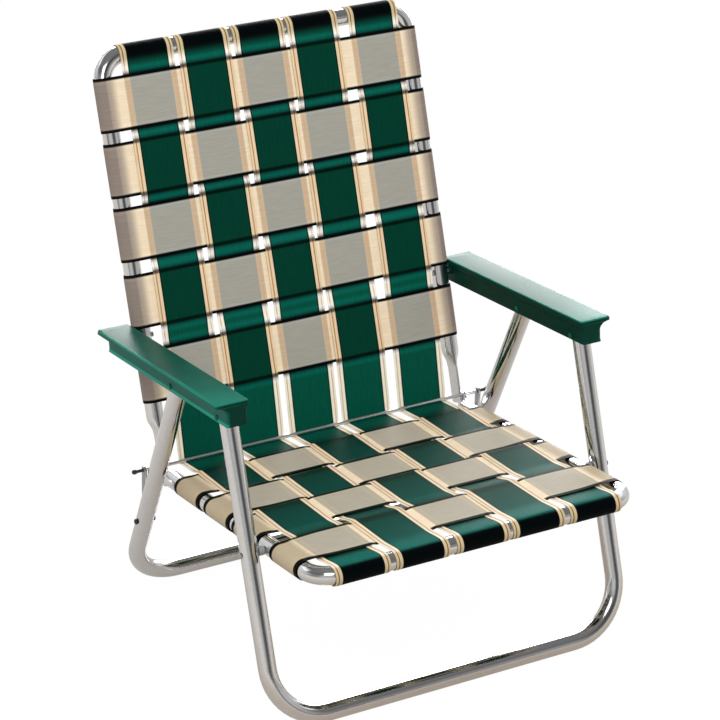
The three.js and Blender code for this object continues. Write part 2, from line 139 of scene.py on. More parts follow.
class Bench:
    """The piece in hand, a primitive that was just added, shaped with the edit-mode tools."""

    def __init__(self, name: str) -> None:
        """Takes the active primitive as the piece.

        Args:
            name: the piece's name.
        """
        bpy.ops.object.transform_apply(location=True, rotation=True, scale=True)
        self.obj: Piece = bpy.context.active_object
        self.obj.name = name
        self.obj.data.name = name
        bpy.ops.object.mode_set(mode="EDIT")
        bpy.ops.mesh.select_mode(type="VERT")

    def take(self, mode: str, chosen: Callable[[bmesh.types.BMesh], list]) -> None:
        """Selects parts of the mesh.

        Args:
            mode: the kind of part, as the select mode calls it.
            chosen: gives the parts to select.
        """
        bpy.ops.mesh.select_mode(type=mode)
        bpy.ops.mesh.select_all(action="DESELECT")
        mesh = bmesh.from_edit_mesh(self.obj.data)
        for part in chosen(mesh):
            part.select_set(True)
        mesh.select_flush_mode()
        bmesh.update_edit_mesh(self.obj.data)

    def pick(self, test: Callable[[Vector], bool]) -> None:
        """Selects the vertices whose place passes a test."""
        self.take("VERT", lambda mesh: [v for v in mesh.verts if test(v.co)])

    def pick_edges(self, test: Callable[[Vector, Vector], bool]) -> None:
        """Selects the edges whose two ends pass a test."""
        self.take("EDGE", lambda mesh: [e for e in mesh.edges if test(e.verts[0].co, e.verts[1].co)])

    def pick_faces(self, test: Callable[[Vector, Vector], bool]) -> None:
        """Selects the faces whose middle and normal pass a test."""
        self.take("FACE", lambda mesh: [f for f in mesh.faces if test(f.calc_center_median(), f.normal)])

    def extrude(self, by: Vector) -> None:
        """Extrudes what is selected by a vector."""
        bpy.ops.mesh.extrude_region_move(TRANSFORM_OT_translate={"value": tuple(by)})

    def move(self, by: Vector) -> None:
        """Moves what is selected by a vector."""
        bpy.ops.transform.translate(value=tuple(by))

    def spin(self, start: Vector, towards: Vector, centre: Vector, steps: int) -> None:
        """Sweeps what is selected a quarter turn round a centre, from one heading towards another."""
        axis = towards.cross(start)
        bpy.ops.mesh.spin(steps=steps, angle=math.pi / 2, center=tuple(centre), axis=tuple(axis))

    def bisect(self, place: Vector, normal: Vector) -> None:
        """Cuts a loop of edges round the whole piece in a plane.

        Args:
            place: a place on the plane.
            normal: the way that the plane faces.
        """
        bpy.ops.mesh.select_mode(type="VERT")
        bpy.ops.mesh.select_all(action="SELECT")
        bpy.ops.mesh.bisect(plane_co=tuple(place), plane_no=tuple(normal))

    def done(self) -> Piece:
        """Merges doubles, turns the faces outwards and leaves edit mode.

        Returns:
            The piece.
        """
        bpy.ops.mesh.select_mode(type="VERT")
        bpy.ops.mesh.select_all(action="SELECT")
        bpy.ops.mesh.remove_doubles(threshold=TINY)
        bpy.ops.mesh.normals_make_consistent(inside=False)
        bpy.ops.object.mode_set(mode="OBJECT")
        return self.obj


def apply_modifier(obj: Piece, kind: str, **settings: object) -> None:
    """Adds a modifier and applies it.

    Args:
        obj: the piece.
        kind: the modifier's type.
        settings: the modifier's own values.
    """
    make_active(obj)
    modifier = obj.modifiers.new(kind.title(), kind)
    for key, value in settings.items():
        setattr(modifier, key, value)
    bpy.ops.object.modifier_apply(modifier=modifier.name)


def soften(obj: Piece, width: float, segments: int, limit: float) -> None:
    """Rounds the sharp edges of a piece.

    Args:
        obj: the piece.
        width: the width of the rounding.
        segments: how many faces round an edge.
        limit: the angle in degrees from which an edge is sharp.
    """
    apply_modifier(
        obj, "BEVEL", width=width, segments=segments, limit_method="ANGLE",
        angle_limit=math.radians(limit), use_clamp_overlap=True,
    )


def smooth(obj: Piece, angle: float) -> None:
    """Shades a piece smooth, apart from edges sharper than an angle in degrees."""
    make_active(obj)
    bpy.ops.object.shade_smooth_by_angle(angle=math.radians(angle))


def cut_away(obj: Piece, cutter: Piece) -> None:
    """Cuts one solid out of another and removes the cutter."""
    apply_modifier(obj, "BOOLEAN", object=cutter, operation="DIFFERENCE", solver="EXACT")
    bpy.data.objects.remove(cutter)


def placed_copy(obj: Piece, name: str, matrix: Matrix) -> Piece:
    """Copies a piece with its own mesh.

    Args:
        obj: the piece to copy.
        name: the copy's name.
        matrix: where the copy goes.

    Returns:
        The copy, with its place in its mesh.
    """
    twin = obj.copy()
    twin.data = obj.data.copy()
    twin.name = name
    twin.data.name = name
    twin.data.transform(matrix)
    if matrix.determinant() < 0:
        twin.data.flip_normals()
    bpy.context.scene.collection.objects.link(twin)
    return twin


def mount(obj: Piece, body: str, slot: str, finish: "Finish", *nodes: str) -> Piece:
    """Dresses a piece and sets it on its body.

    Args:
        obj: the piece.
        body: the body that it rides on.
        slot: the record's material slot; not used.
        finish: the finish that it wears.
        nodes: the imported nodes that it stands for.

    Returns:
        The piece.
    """
    finish.dress(obj)
    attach(obj, body)
    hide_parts(*nodes)
    LOG.info("%s: %d faces, on %s", obj.name, len(obj.data.polygons), body)
    return obj


# Geometry of the frame

PIVOTS = {joint["name"]: Vector(joint["pos_m"]) for joint in frame["joints"]}
HINGE = PIVOTS["fold"]
BACK_PIVOT = PIVOTS["back_turn"]
SEAT_PIVOT = PIVOTS["front_leg_turn"]
REAR_PIVOT = PIVOTS["arm_turn"]
LINK_PIN = PIVOTS["link_turn"]
FRONT_PIVOT = SEAT_PIVOT + BACK_PIVOT - HINGE
ACROSS = Vector((1, 0, 0))


@dataclass(frozen=True)
class SidePlane:
    """A plane that holds the X axis: a start, the way along it and the way it faces."""

    origin: Vector
    along: Vector
    face: Vector

    def point(self, x: float, run: float, lift: float) -> Vector:
        """The place at x, a run along the plane and a lift off it."""
        return self.origin + ACROSS * x + self.along * run + self.face * lift

    def local(self, place: Vector) -> tuple[float, float, float]:
        """A place as its x, run and lift."""
        rel = place - self.origin
        return rel.x, rel.dot(self.along), rel.dot(self.face)


def slanted(origin: Vector, lean: float, offset: float, forward: bool) -> SidePlane:
    """A plane that holds the X axis, given by its lean.

    Args:
        origin: a place on the plane before the offset.
        lean: degrees that the plane leans back from upright, or up from level where it runs forward.
        offset: how far the plane lies in front of the origin.
        forward: True where the plane runs forward, as a seat does.

    Returns:
        The plane.
    """
    angle = math.radians(lean)
    if forward:
        along = Vector((0, -math.cos(angle), math.sin(angle)))
        face = Vector((0, math.sin(angle), math.cos(angle)))
    else:
        along = Vector((0, math.sin(angle), math.cos(angle)))
        face = Vector((0, -math.cos(angle), math.sin(angle)))
    return SidePlane(origin + face * offset, along, face)


TUBE_R = 12.7 * MM
ROD_R = 2.8 * MM
LEG_X = 279 * MM
BACK_HALF, BACK_LEN = 246 * MM, 590 * MM
SEAT_HALF, SEAT_LEN = 244.5 * MM, 465 * MM
BACK_PLANE = slanted(HINGE, lean=17.2, offset=-9 * MM, forward=False)
SEAT_PLANE = slanted(HINGE, lean=6.3, offset=-16 * MM, forward=True)


# Finishes


class Nodes:
    """A material's node tree, with short calls to fill it."""

    def __init__(self, tree: bpy.types.NodeTree) -> None:
        """Takes a tree to fill."""
        self.tree = tree

    def fill(self, node: bpy.types.Node, inputs: dict[str | int, object]) -> bpy.types.Node:
        """Links or sets a node's inputs.

        Args:
            node: the node.
            inputs: a socket, value or colour for each input, by the input's name or number.

        Returns:
            The node.
        """
        for key, value in inputs.items():
            target = node.inputs[key]
            if isinstance(value, Socket):
                self.tree.links.new(value, target)
            elif target.type == "RGBA":
                target.default_value = (*value, 1.0)
            else:
                target.default_value = value
        return node

    def add(self, kind: str, inputs: dict[str | int, object], **settings: object) -> bpy.types.Node:
        """Adds a node.

        Args:
            kind: the node's type.
            inputs: what goes into it.
            settings: the node's own settings.

        Returns:
            The node.
        """
        node = self.tree.nodes.new(kind)
        for key, value in settings.items():
            setattr(node, key, value)
        return self.fill(node, inputs)

    def math(self, operation: str, *values: object) -> Socket:
        """The result of a math node on values or sockets."""
        return self.add("ShaderNodeMath", dict(enumerate(values)), operation=operation).outputs[0]

    def vector(self, operation: str, first: object, second: object) -> Socket:
        """The value that a vector math node makes of two vectors."""
        inputs = {0: first, 1: second}
        return self.add("ShaderNodeVectorMath", inputs, operation=operation).outputs["Value"]

    def ramp(self, value: Socket, stops: Stops, span: float) -> Socket:
        """A colour that changes with a value.

        Args:
            value: the socket that drives it.
            stops: pairs of a value and the colour there, in order.
            span: the value at the ramp's far end.

        Returns:
            The colour's socket.
        """
        node = self.add("ShaderNodeValToRGB", {"Fac": self.math("DIVIDE", value, span)})
        elements = node.color_ramp.elements
        while len(elements) < len(stops):
            elements.new(1.0)
        for element, (at, colour) in zip(elements, stops):
            element.position = at / span
            element.color = (*colour, 1.0)
        return node.outputs["Color"]

    def mix(self, factor: object, first: object, second: object, blend: str = "MIX") -> Socket:
        """Mixes two colours by a factor, each of them a value or a socket."""
        inputs = {0: factor, 6: first, 7: second}
        return self.add("ShaderNodeMix", inputs, data_type="RGBA", blend_type=blend).outputs[2]

    def noise(self, vector: Socket, scale: object, detail: float) -> Socket:
        """A noise value over a vector."""
        inputs = {"Vector": vector, "Scale": scale, "Detail": detail}
        return self.add("ShaderNodeTexNoise", inputs).outputs["Fac"]

    def smooth(self, value: Socket, low: float, high: float) -> Socket:
        """A smooth step from 0 at a low value to 1 at a high one."""
        inputs = {"Value": value, "From Min": low, "From Max": high}
        return self.add("ShaderNodeMapRange", inputs, interpolation_type="SMOOTHSTEP").outputs[0]

    def spread(self, value: Socket, low: float, high: float) -> Socket:
        """Maps a value from 0 to 1 on to a range."""
        return self.add("ShaderNodeMapRange", {"Value": value, "To Min": low, "To Max": high}).outputs[0]

    def bump(self, height: Socket, depth: float, strength: float) -> Socket:
        """The normal of a surface with a height on it, by its depth in metres and its strength."""
        inputs = {"Height": height, "Distance": depth, "Strength": strength}
        return self.add("ShaderNodeBump", inputs).outputs["Normal"]

    def attribute(self, name: str, output: str = "Fac") -> Socket:
        """Reads an attribute of the mesh."""
        return self.add("ShaderNodeAttribute", {}, attribute_name=name).outputs[output]

    def place(self) -> Socket:
        """The surface's place in the chair's frame."""
        return self.add("ShaderNodeTexCoord", {}).outputs["Object"]

    def rays(self) -> tuple[Socket, Socket]:
        """Whether a ray comes straight from the eye, and whether it comes off something glossy.

        Returns:
            The two sockets.
        """
        path = self.add("ShaderNodeLightPath", {}).outputs
        direct = self.math("MAXIMUM", path["Is Camera Ray"], path["Is Transmission Ray"])
        return direct, path["Is Glossy Ray"]


FLOAT = "NodeSocketFloat"
VECTOR = "NodeSocketVector"


def shader_group(
    name: str, inputs: dict[str, str], outputs: Sequence[str]
) -> tuple[Nodes, dict[str, Socket], bpy.types.Node]:
    """Starts a shader node group.

    Args:
        name: the group's name.
        inputs: the type of each input, by its name.
        outputs: the names of its outputs, all of them values.

    Returns:
        The group's nodes, its inputs by name, and the node that its outputs go to.
    """
    tree = bpy.data.node_groups.new(name, "ShaderNodeTree")
    for label, kind in inputs.items():
        tree.interface.new_socket(label, in_out="INPUT", socket_type=kind)
    for label in outputs:
        tree.interface.new_socket(label, in_out="OUTPUT", socket_type=FLOAT)
    nodes = Nodes(tree)
    fed = {socket.name: socket for socket in nodes.add("NodeGroupInput", {}).outputs}
    return nodes, fed, nodes.add("NodeGroupOutput", {})


# The streaks of uneven yarn: how much they stretch along a strap, how fine and detailed they are, and the
# noise level that counts as none with the gain above it. Last, the share of the weave's relief in the shade,
# a painted shade that makes the raised yarns lighter.
SLUB_STRETCH = 0.08
SLUB_NOISE: Pair = (420.0, 3.0)
SLUB_NONE, SLUB_GAIN = 0.32, 1.7
RELIEF_SHARE = 0.5
# Scuffs: their detail and how sharply they stand out. Dust: how fine and detailed it is.
SCUFF_DETAIL, SCUFF_POWER = 6.0, 2.0
DUST_NOISE: Pair = (14.0, 4.0)


def yarn_group() -> bpy.types.NodeTree:
    """Plain weave of flat yarns: a height, and a shade over the strap from uneven yarn and from the weave's
    relief as painted shade.

    Returns:
        The group, with inputs Across, Along, Warp and Weft, in metres.
    """
    labels = ("Across", "Along", "Warp", "Weft")
    nodes, fed, target = shader_group("flat_yarn_weave", dict.fromkeys(labels, FLOAT), ("Height", "Shade"))
    across, along = (
        nodes.math("SINE", nodes.math("MULTIPLY", nodes.math("DIVIDE", fed[way], fed[yarn]), math.pi))
        for way, yarn in (("Across", "Warp"), ("Along", "Weft"))
    )
    pick = nodes.math("GREATER_THAN", nodes.math("MULTIPLY", across, along), 0.0)
    warp = nodes.math("MULTIPLY", nodes.math("ABSOLUTE", across), pick)
    weft = nodes.math("MULTIPLY", nodes.math("ABSOLUTE", along), nodes.math("SUBTRACT", 1.0, pick))
    height = nodes.math("ADD", warp, weft)
    stretched = nodes.math("MULTIPLY", fed["Along"], SLUB_STRETCH)
    slub = nodes.add("ShaderNodeCombineXYZ", {"X": fed["Across"], "Y": stretched})
    uneven = nodes.math("SUBTRACT", nodes.noise(slub.outputs[0], *SLUB_NOISE), SLUB_NONE)
    streak = nodes.math("MULTIPLY", uneven, SLUB_GAIN)
    # The weave's relief painted into the shade, lighter on the raised yarns, plus the yarn's streaks.
    shade = nodes.math("ADD", nodes.math("MULTIPLY", height, RELIEF_SHARE), streak)
    nodes.fill(target, {"Height": height, "Shade": shade})
    return nodes.tree


def scuff_group() -> bpy.types.NodeTree:
    """Fine scuffs and settled dust on a hard surface.

    Returns:
        The group, with inputs Place and Scale, and outputs Scuff and Cloud from 0 to 1.
    """
    sockets = {"Place": VECTOR, "Scale": FLOAT}
    nodes, fed, target = shader_group("handling_scuffs", sockets, ("Scuff", "Cloud"))
    fine = nodes.noise(fed["Place"], fed["Scale"], SCUFF_DETAIL)
    cloud = nodes.noise(fed["Place"], *DUST_NOISE)
    nodes.fill(target, {"Scuff": nodes.math("POWER", fine, SCUFF_POWER), "Cloud": cloud})
    return nodes.tree


YARN = yarn_group()
SCUFFS = scuff_group()


def scuffed(nodes: Nodes, scale: float) -> tuple[Socket, Socket]:
    """Scuffs and dust over a piece.

    Args:
        nodes: the material's nodes.
        scale: how fine the scuffs are.

    Returns:
        The sockets of the scuffs and of the dust.
    """
    group = nodes.add("ShaderNodeGroup", {}, node_tree=SCUFFS)
    nodes.fill(group, {"Place": nodes.place(), "Scale": scale})
    return group.outputs["Scuff"], group.outputs["Cloud"]


class Finish:
    """A surface finish, made into a material once and worn by many pieces."""

    name: str
    made: ClassVar[dict[str, bpy.types.Material]] = {}

    def paint(self, nodes: Nodes) -> dict[str, object]:
        """Fills the material's nodes and gives the surface shader's inputs."""
        raise NotImplementedError

    def material(self) -> bpy.types.Material:
        """The finish as a material.

        Returns:
            The material, built the first time it is asked for.
        """
        if self.name not in Finish.made:
            material = bpy.data.materials.new(self.name)
            material.use_nodes = True
            nodes = Nodes(material.node_tree)
            nodes.fill(material.node_tree.nodes["Principled BSDF"], self.paint(nodes))
            Finish.made[self.name] = material
        return Finish.made[self.name]

    def dress(self, obj: Piece) -> None:
        """Puts the finish on a piece."""
        obj.data.materials.clear()
        obj.data.materials.append(self.material())


@dataclass(frozen=True)
class DrawnTube(Finish):
    """Polished drawn tube with faint lines along its length."""

    name: str = "polished_drawn_tube"
    colour: Colour = (0.80, 0.80, 0.80)
    dull: Colour = (0.60, 0.60, 0.61)
    gloss: Pair = (0.08, 0.21)
    lines: Pair = (900.0, 4.0)
    scuff_scale: float = 160.0
    line_shade: float = 0.35
    line_rough: float = 0.5
    worn_rough: float = 0.9
    relief: Pair = (0.02 * MM, 0.25)

    def paint(self, nodes: Nodes) -> dict[str, object]:
        """Fills the material's nodes.

        Args:
            nodes: the material's nodes.

        Returns:
            What goes into the surface shader, by the input's name.
        """
        lines = nodes.noise(nodes.attribute("drawn", "Vector"), *self.lines)
        worn = nodes.math("MULTIPLY", *scuffed(nodes, self.scuff_scale))
        shade = nodes.math("MULTIPLY_ADD", lines, self.line_shade, worn)
        matt = nodes.math("MULTIPLY", worn, self.worn_rough)
        rough = nodes.math("MULTIPLY_ADD", lines, self.line_rough, matt)
        return {
            "Base Color": nodes.mix(shade, self.colour, self.dull),
            "Roughness": nodes.spread(rough, *self.gloss),
            "Metallic": 1.0,
            "Normal": nodes.bump(lines, *self.relief),
        }


@dataclass(frozen=True)
class PlainMetal(Finish):
    """Plain fittings: rivets, rod, links and collars."""

    name: str
    colour: Colour
    worn: Colour
    gloss: Pair
    metallic: float = 1.0
    scuff_scale: float = 420.0
    relief: Pair = (0.05 * MM, 0.3)

    def paint(self, nodes: Nodes) -> dict[str, object]:
        """Fills the material's nodes.

        Args:
            nodes: the material's nodes.

        Returns:
            What goes into the surface shader, by the input's name.
        """
        scuff, cloud = scuffed(nodes, self.scuff_scale)
        return {
            "Base Color": nodes.mix(scuff, self.colour, self.worn),
            "Roughness": nodes.spread(cloud, *self.gloss),
            "Metallic": self.metallic,
            "Normal": nodes.bump(scuff, *self.relief),
        }


@dataclass(frozen=True)
class MouldedArm(Finish):
    """Moulded plastic with a fine grain, and painted light: lighter where light falls on it, darker in
    painted shade.
    """

    name: str
    unlit: Colour
    painted_light: Colour
    gloss: Pair = (0.33, 0.45)
    specular: float = 0.07
    scuff_scale: float = 90.0
    patchy: float = 0.35
    grain: Pair = (1500.0, 2.0)
    relief: Pair = (0.12 * MM, 0.22)

    def paint(self, nodes: Nodes) -> dict[str, object]:
        """Fills the material's nodes.

        Args:
            nodes: the material's nodes.

        Returns:
            What goes into the surface shader, by the input's name.
        """
        _, cloud = scuffed(nodes, self.scuff_scale)
        uneven = nodes.math("SUBTRACT", cloud, 0.5)
        # The painted light share of each corner, with a random tone added, mixes the unlit colour towards the
        # painted light colour.
        pale = nodes.math("MULTIPLY_ADD", uneven, self.patchy, nodes.attribute("painted_light"))
        return {
            "Base Color": nodes.mix(pale, self.unlit, self.painted_light),
            "Roughness": nodes.spread(cloud, *self.gloss),
            "Specular IOR Level": self.specular,
            "Normal": nodes.bump(nodes.noise(nodes.place(), *self.grain), *self.relief),
        }


LONG_W = 82 * MM
CROSS_W = 78 * MM
STRAP_T = 1.1 * MM
CROSSING_SPAN = 60 * MM


@dataclass(frozen=True)
class Webbing(Finish):
    """Woven strap with the light that comes through it painted into its colour, less where another strap or a
    tube lies behind it.

    Its stripes are given alone, doubled with a strap within reach, on a tube in painted shade, and for a long
    strap also lying on the seat, in painted shade and painted light, and clear of every cross strap; the
    stripes are the strap's own print, their levels painted light and shade. Through is a factor by the
    crossing, which also paints the shadow at the edge of a crossing strap.
    """

    name: str
    width: float
    reach: float
    single: Stops
    doubled: Stops
    through: Stops
    on_tube: Stops
    tube_share: Pair
    streaks: Pair
    lying: tuple[Stops, ...] = ()
    clear: Stops = ()
    clear_from: Pair = (47 * MM, 53 * MM)
    yarn: Pair = (1.3 * MM, 1.9 * MM)
    gloss: Pair = (0.44, 0.60)
    specular: float = 0.035
    edge_room: float = 4 * MM
    relief: Pair = (0.25 * MM, 0.35)

    def colours(self, nodes: Nodes, off: Socket) -> Socket:
        """The strap's colours with their painted light and shade, without its yarns.

        Args:
            nodes: the material's nodes.
            off: the distance from the strap's middle line.

        Returns:
            The colour's socket.
        """
        crossing = nodes.attribute("crossing")
        span = self.width / 2 + self.edge_room
        own = nodes.ramp(off, self.single, span)
        if self.clear:
            free = nodes.smooth(crossing, *self.clear_from)
            own = nodes.mix(free, own, nodes.ramp(off, self.clear, span))
        zone = nodes.math("LESS_THAN", crossing, self.reach)
        own = nodes.mix(zone, own, nodes.ramp(off, self.doubled, span))
        # Painted light through the strap, and painted shadow at the edge of the strap that it crosses.
        seen = nodes.mix(1.0, own, nodes.ramp(crossing, self.through, CROSSING_SPAN), "MULTIPLY")
        # On the seat: painted shade and painted light, mixed by the painted light share.
        if self.lying:
            dark, bright = (nodes.ramp(off, stripes, span) for stripes in self.lying)
            lit = nodes.mix(nodes.attribute("fore"), dark, bright)
            seen = nodes.mix(nodes.attribute("lying"), seen, lit)
        # Painted shade where a tube lies behind the strap.
        backed = nodes.smooth(nodes.attribute("backed"), *self.tube_share)
        return nodes.mix(backed, seen, nodes.ramp(off, self.on_tube, span))

    def paint(self, nodes: Nodes) -> dict[str, object]:
        """Fills the material's nodes.

        Args:
            nodes: the material's nodes.

        Returns:
            What goes into the surface shader, by the input's name.
        """
        across = nodes.attribute("across")
        yarn = nodes.add("ShaderNodeGroup", {}, node_tree=YARN)
        warp, weft = self.yarn
        nodes.fill(yarn, {"Across": across, "Along": nodes.attribute("along"), "Warp": warp, "Weft": weft})
        height = yarn.outputs["Height"]
        shade = nodes.spread(yarn.outputs["Shade"], *self.streaks)
        grey = nodes.add("ShaderNodeCombineColor", {channel: shade for channel in range(3)})
        seen = self.colours(nodes, nodes.math("ABSOLUTE", across))
        low, high = self.gloss
        return {
            "Base Color": nodes.mix(1.0, seen, grey.outputs[0], "MULTIPLY"),
            "Roughness": nodes.spread(height, high, low),
            "Specular IOR Level": self.specular,
            "Normal": nodes.bump(height, *self.relief),
        }


def banded(bands: Sequence[tuple[float, Colour]], edge: float = 0.25 * MM) -> Stops:
    """Turns bands into ramp stops with a short blend at each change.

    Args:
        bands: pairs of where a band ends and its colour, from the middle outwards.
        edge: half the width of the blend.

    Returns:
        The ramp's stops.
    """
    stops = [(0.0, bands[0][1])]
    for (end, colour), (_, following) in zip(bands, bands[1:]):
        stops += [(end - edge, colour), (end + edge, following)]
    return tuple(stops)


CORE, LINE, CREAM_END, BROWN_END = 30 * MM, 31.8 * MM, 36.2 * MM, 38 * MM
# Where the black selvedge starts on the back and on the seat: set wider than the selvedge to take in the
# painted shadow under a strap's edge, wider still on the seat.
BACK_EDGE = 34.4 * MM
SEAT_EDGE = 33.0 * MM
PALE = 3.4 * MM
CROSS_BLEND = 0.9 * MM
THROUGH_BLEND = 0.6 * MM

INK: Colour = (0.004, 0.004, 0.004)
WHITE: Colour = (1.0, 1.0, 1.0)
TAN: Colour = (0.95, 0.78, 0.56)


def long_stripes(core: Colour, cream: Colour, brown: Colour) -> Stops:
    """The stripes of a long strap: a wide core, a black line, and cream with a brown line to each edge."""
    return banded([(CORE, core), (LINE, INK), (CREAM_END, cream), (BROWN_END, brown), (LONG_W, cream)])


def cross_stripes(core: Colour, pale: Colour, edge: float) -> Stops:
    """The stripes of a cross strap: a wide core, a paler stripe, and a black selvedge from the edge on."""
    return banded([(edge - PALE, core), (edge, pale), (CROSS_W, INK)], CROSS_BLEND)


def seen_through(core: Colour, cream: Colour, brown: Colour) -> Stops:
    """The painted light that a cross strap lets show of the long strap behind it, as factors on its own
    colour.
    """
    strap = [(LINE, core), (CREAM_END, cream), (BROWN_END, brown), (LONG_W / 2, cream)]
    return banded([*strap, (CROSSING_SPAN, WHITE)], THROUGH_BLEND)


TUBE = DrawnTube()
RIVET = PlainMetal("satin_rivet", (0.50, 0.50, 0.51), (0.34, 0.34, 0.35), (0.28, 0.46))
ROD = PlainMetal("bright_rod", (0.92, 0.92, 0.92), (0.50, 0.50, 0.50), (0.25, 0.45))
LINK = PlainMetal("zinc_plated_link", (0.46, 0.46, 0.47), (0.30, 0.30, 0.31), (0.42, 0.58))
DARK_STEEL = PlainMetal("dark_link_steel", (0.030, 0.030, 0.031), (0.10, 0.10, 0.10), (0.36, 0.55), 0.6)
SPACER = PlainMetal("grey_spacer", (0.32, 0.33, 0.33), (0.22, 0.22, 0.22), (0.45, 0.6), 0.0)
# The arm's colours: in painted shade, and in full painted light.
ARM = MouldedArm("moulded_green_plastic", (0.0012, 0.034, 0.021), (0.019, 0.300, 0.218))
ARM_RIVET = MouldedArm("green_enamelled_rivet", (0.0066, 0.108, 0.076), (0.012, 0.200, 0.144))
# Painted light through the straps: single, doubled and clear are the lit levels of each stripe alone, over
# another strap and between the cross straps.
LONG_STRAP = Webbing(
    "green_striped_webbing",
    width=LONG_W,
    reach=CROSS_W / 2,
    single=long_stripes((0.0016, 0.122, 0.086), (0.98, 0.94, 0.85), (0.82, 0.70, 0.56)),
    doubled=long_stripes((0.0002, 0.045, 0.026), (0.86, 0.66, 0.43), (0.46, 0.25, 0.10)),
    # Painted shadow at the crossing strap's edge, where its black selvedge also lies behind.
    through=(
        (0.0, WHITE),
        (33.5 * MM, WHITE),
        (36.2 * MM, (0.17, 0.18, 0.18)),
        (CROSS_W / 2 + 1 * MM, (0.13, 0.14, 0.14)),
        (CROSS_W / 2 + 3 * MM, (0.58, 0.58, 0.58)),
        (CROSS_W / 2 + 7 * MM, WHITE),
    ),
    # Painted shade where the strap lies over a rail.
    on_tube=long_stripes((0.0007, 0.0020, 0.0026), (0.62, 0.50, 0.30), (0.22, 0.11, 0.035)),
    tube_share=(0.08, 0.40),
    streaks=(0.80, 1.13),
    # Painted shade and painted light on the seat.
    lying=(
        long_stripes((0.0004, 0.020, 0.009), (0.86, 0.68, 0.46), (0.46, 0.25, 0.10)),
        long_stripes((0.0010, 0.138, 0.110), (0.95, 0.86, 0.68), (0.62, 0.45, 0.28)),
    ),
    clear=long_stripes((0.0012, 0.085, 0.053), (1.0, 0.94, 0.76), (0.72, 0.55, 0.38)),
    specular=0.027,
)
BACK_CROSS = Webbing(
    "tan_edged_webbing_of_back",
    width=CROSS_W,
    reach=LONG_W / 2,
    single=cross_stripes(TAN, (0.98, 0.83, 0.60), BACK_EDGE),
    doubled=cross_stripes(TAN, (1.0, 0.88, 0.64), BACK_EDGE),
    # Painted light through the strap: greyer where a long strap lies behind.
    through=seen_through((0.415, 0.485, 0.585), (0.68, 0.62, 0.58), (0.72, 0.58, 0.47)),
    # Painted shade over the side tubes.
    on_tube=cross_stripes((0.29, 0.235, 0.20), (0.34, 0.27, 0.22), BACK_EDGE),
    tube_share=(0.15, 0.50),
    streaks=(0.89, 1.07),
)
SEAT_CROSS = Webbing(
    "tan_edged_webbing_of_seat",
    width=CROSS_W,
    reach=LONG_W / 2,
    single=cross_stripes(TAN, (0.98, 0.84, 0.58), SEAT_EDGE),
    doubled=cross_stripes(TAN, (1.0, 0.88, 0.58), SEAT_EDGE),
    # Painted light through the strap, where a long strap lies behind.
    through=seen_through((0.50, 0.55, 0.61), (0.55, 0.59, 0.62), (0.54, 0.55, 0.55)),
    # Painted shade over the side tubes, with a wider black edge that paints the dark shade between the wraps.
    on_tube=cross_stripes((0.54, 0.44, 0.30), (0.58, 0.47, 0.30), SEAT_EDGE - 2.5 * MM),
    tube_share=(0.0, 0.30),
    streaks=(0.89, 1.07),
)


# Tube loops


@dataclass(frozen=True)
class FlatEnd:
    """The crimped end of a tube: a flat tab, then a taper back to round."""

    tab: float
    taper: float
    ear: float
    height: float
    shift: float
    out: float
    half_thick: float = 2 * MM
    square: float = 2.6
    tip: float = 0.72
    tip_reach: float = 1 * MM
    tip_rings: Pair = (1.5 * MM, 4 * MM)
    taper_steps: int = 7

    def stations(self, start: float) -> list[float]:
        """Where a tube needs rings for its crimped end.

        Args:
            start: where the tube ends.

        Returns:
            The places along the tube, in order.
        """
        rings = {start + ring for ring in self.tip_rings} | {self.ear}
        rings |= {self.tab + self.taper * i / self.taper_steps for i in range(self.taper_steps + 1)}
        return sorted(rings)

    def shape(self, run: float, start: float, angle: float) -> tuple[float, float, float]:
        """The section at a place.

        Args:
            run: the place along the tube.
            start: where the tube ends.
            angle: the point's angle round the tube, from the outward way to the face.

        Returns:
            The point's offsets sideways and towards the face, and the tube's shift outwards.
        """
        flat = ease(1 - (run - self.tab) / self.taper)
        rise = 1.0
        if run > self.ear:
            rise = max(0.0, 1 - (run - self.ear) / max(self.tab - self.ear, TINY))
        high = TUBE_R + (self.height - TUBE_R) * rise
        if run < start + self.tip_reach:
            high *= self.tip
        wide = max(-1.0, min(1.0, math.cos(angle) * self.square)) * self.half_thick
        side = TUBE_R * math.cos(angle) * (1 - flat) + wide * flat
        lift = TUBE_R * math.sin(angle) * (1 - flat) + (math.sin(angle) * high + self.shift * rise) * flat
        return side, lift, self.out * flat


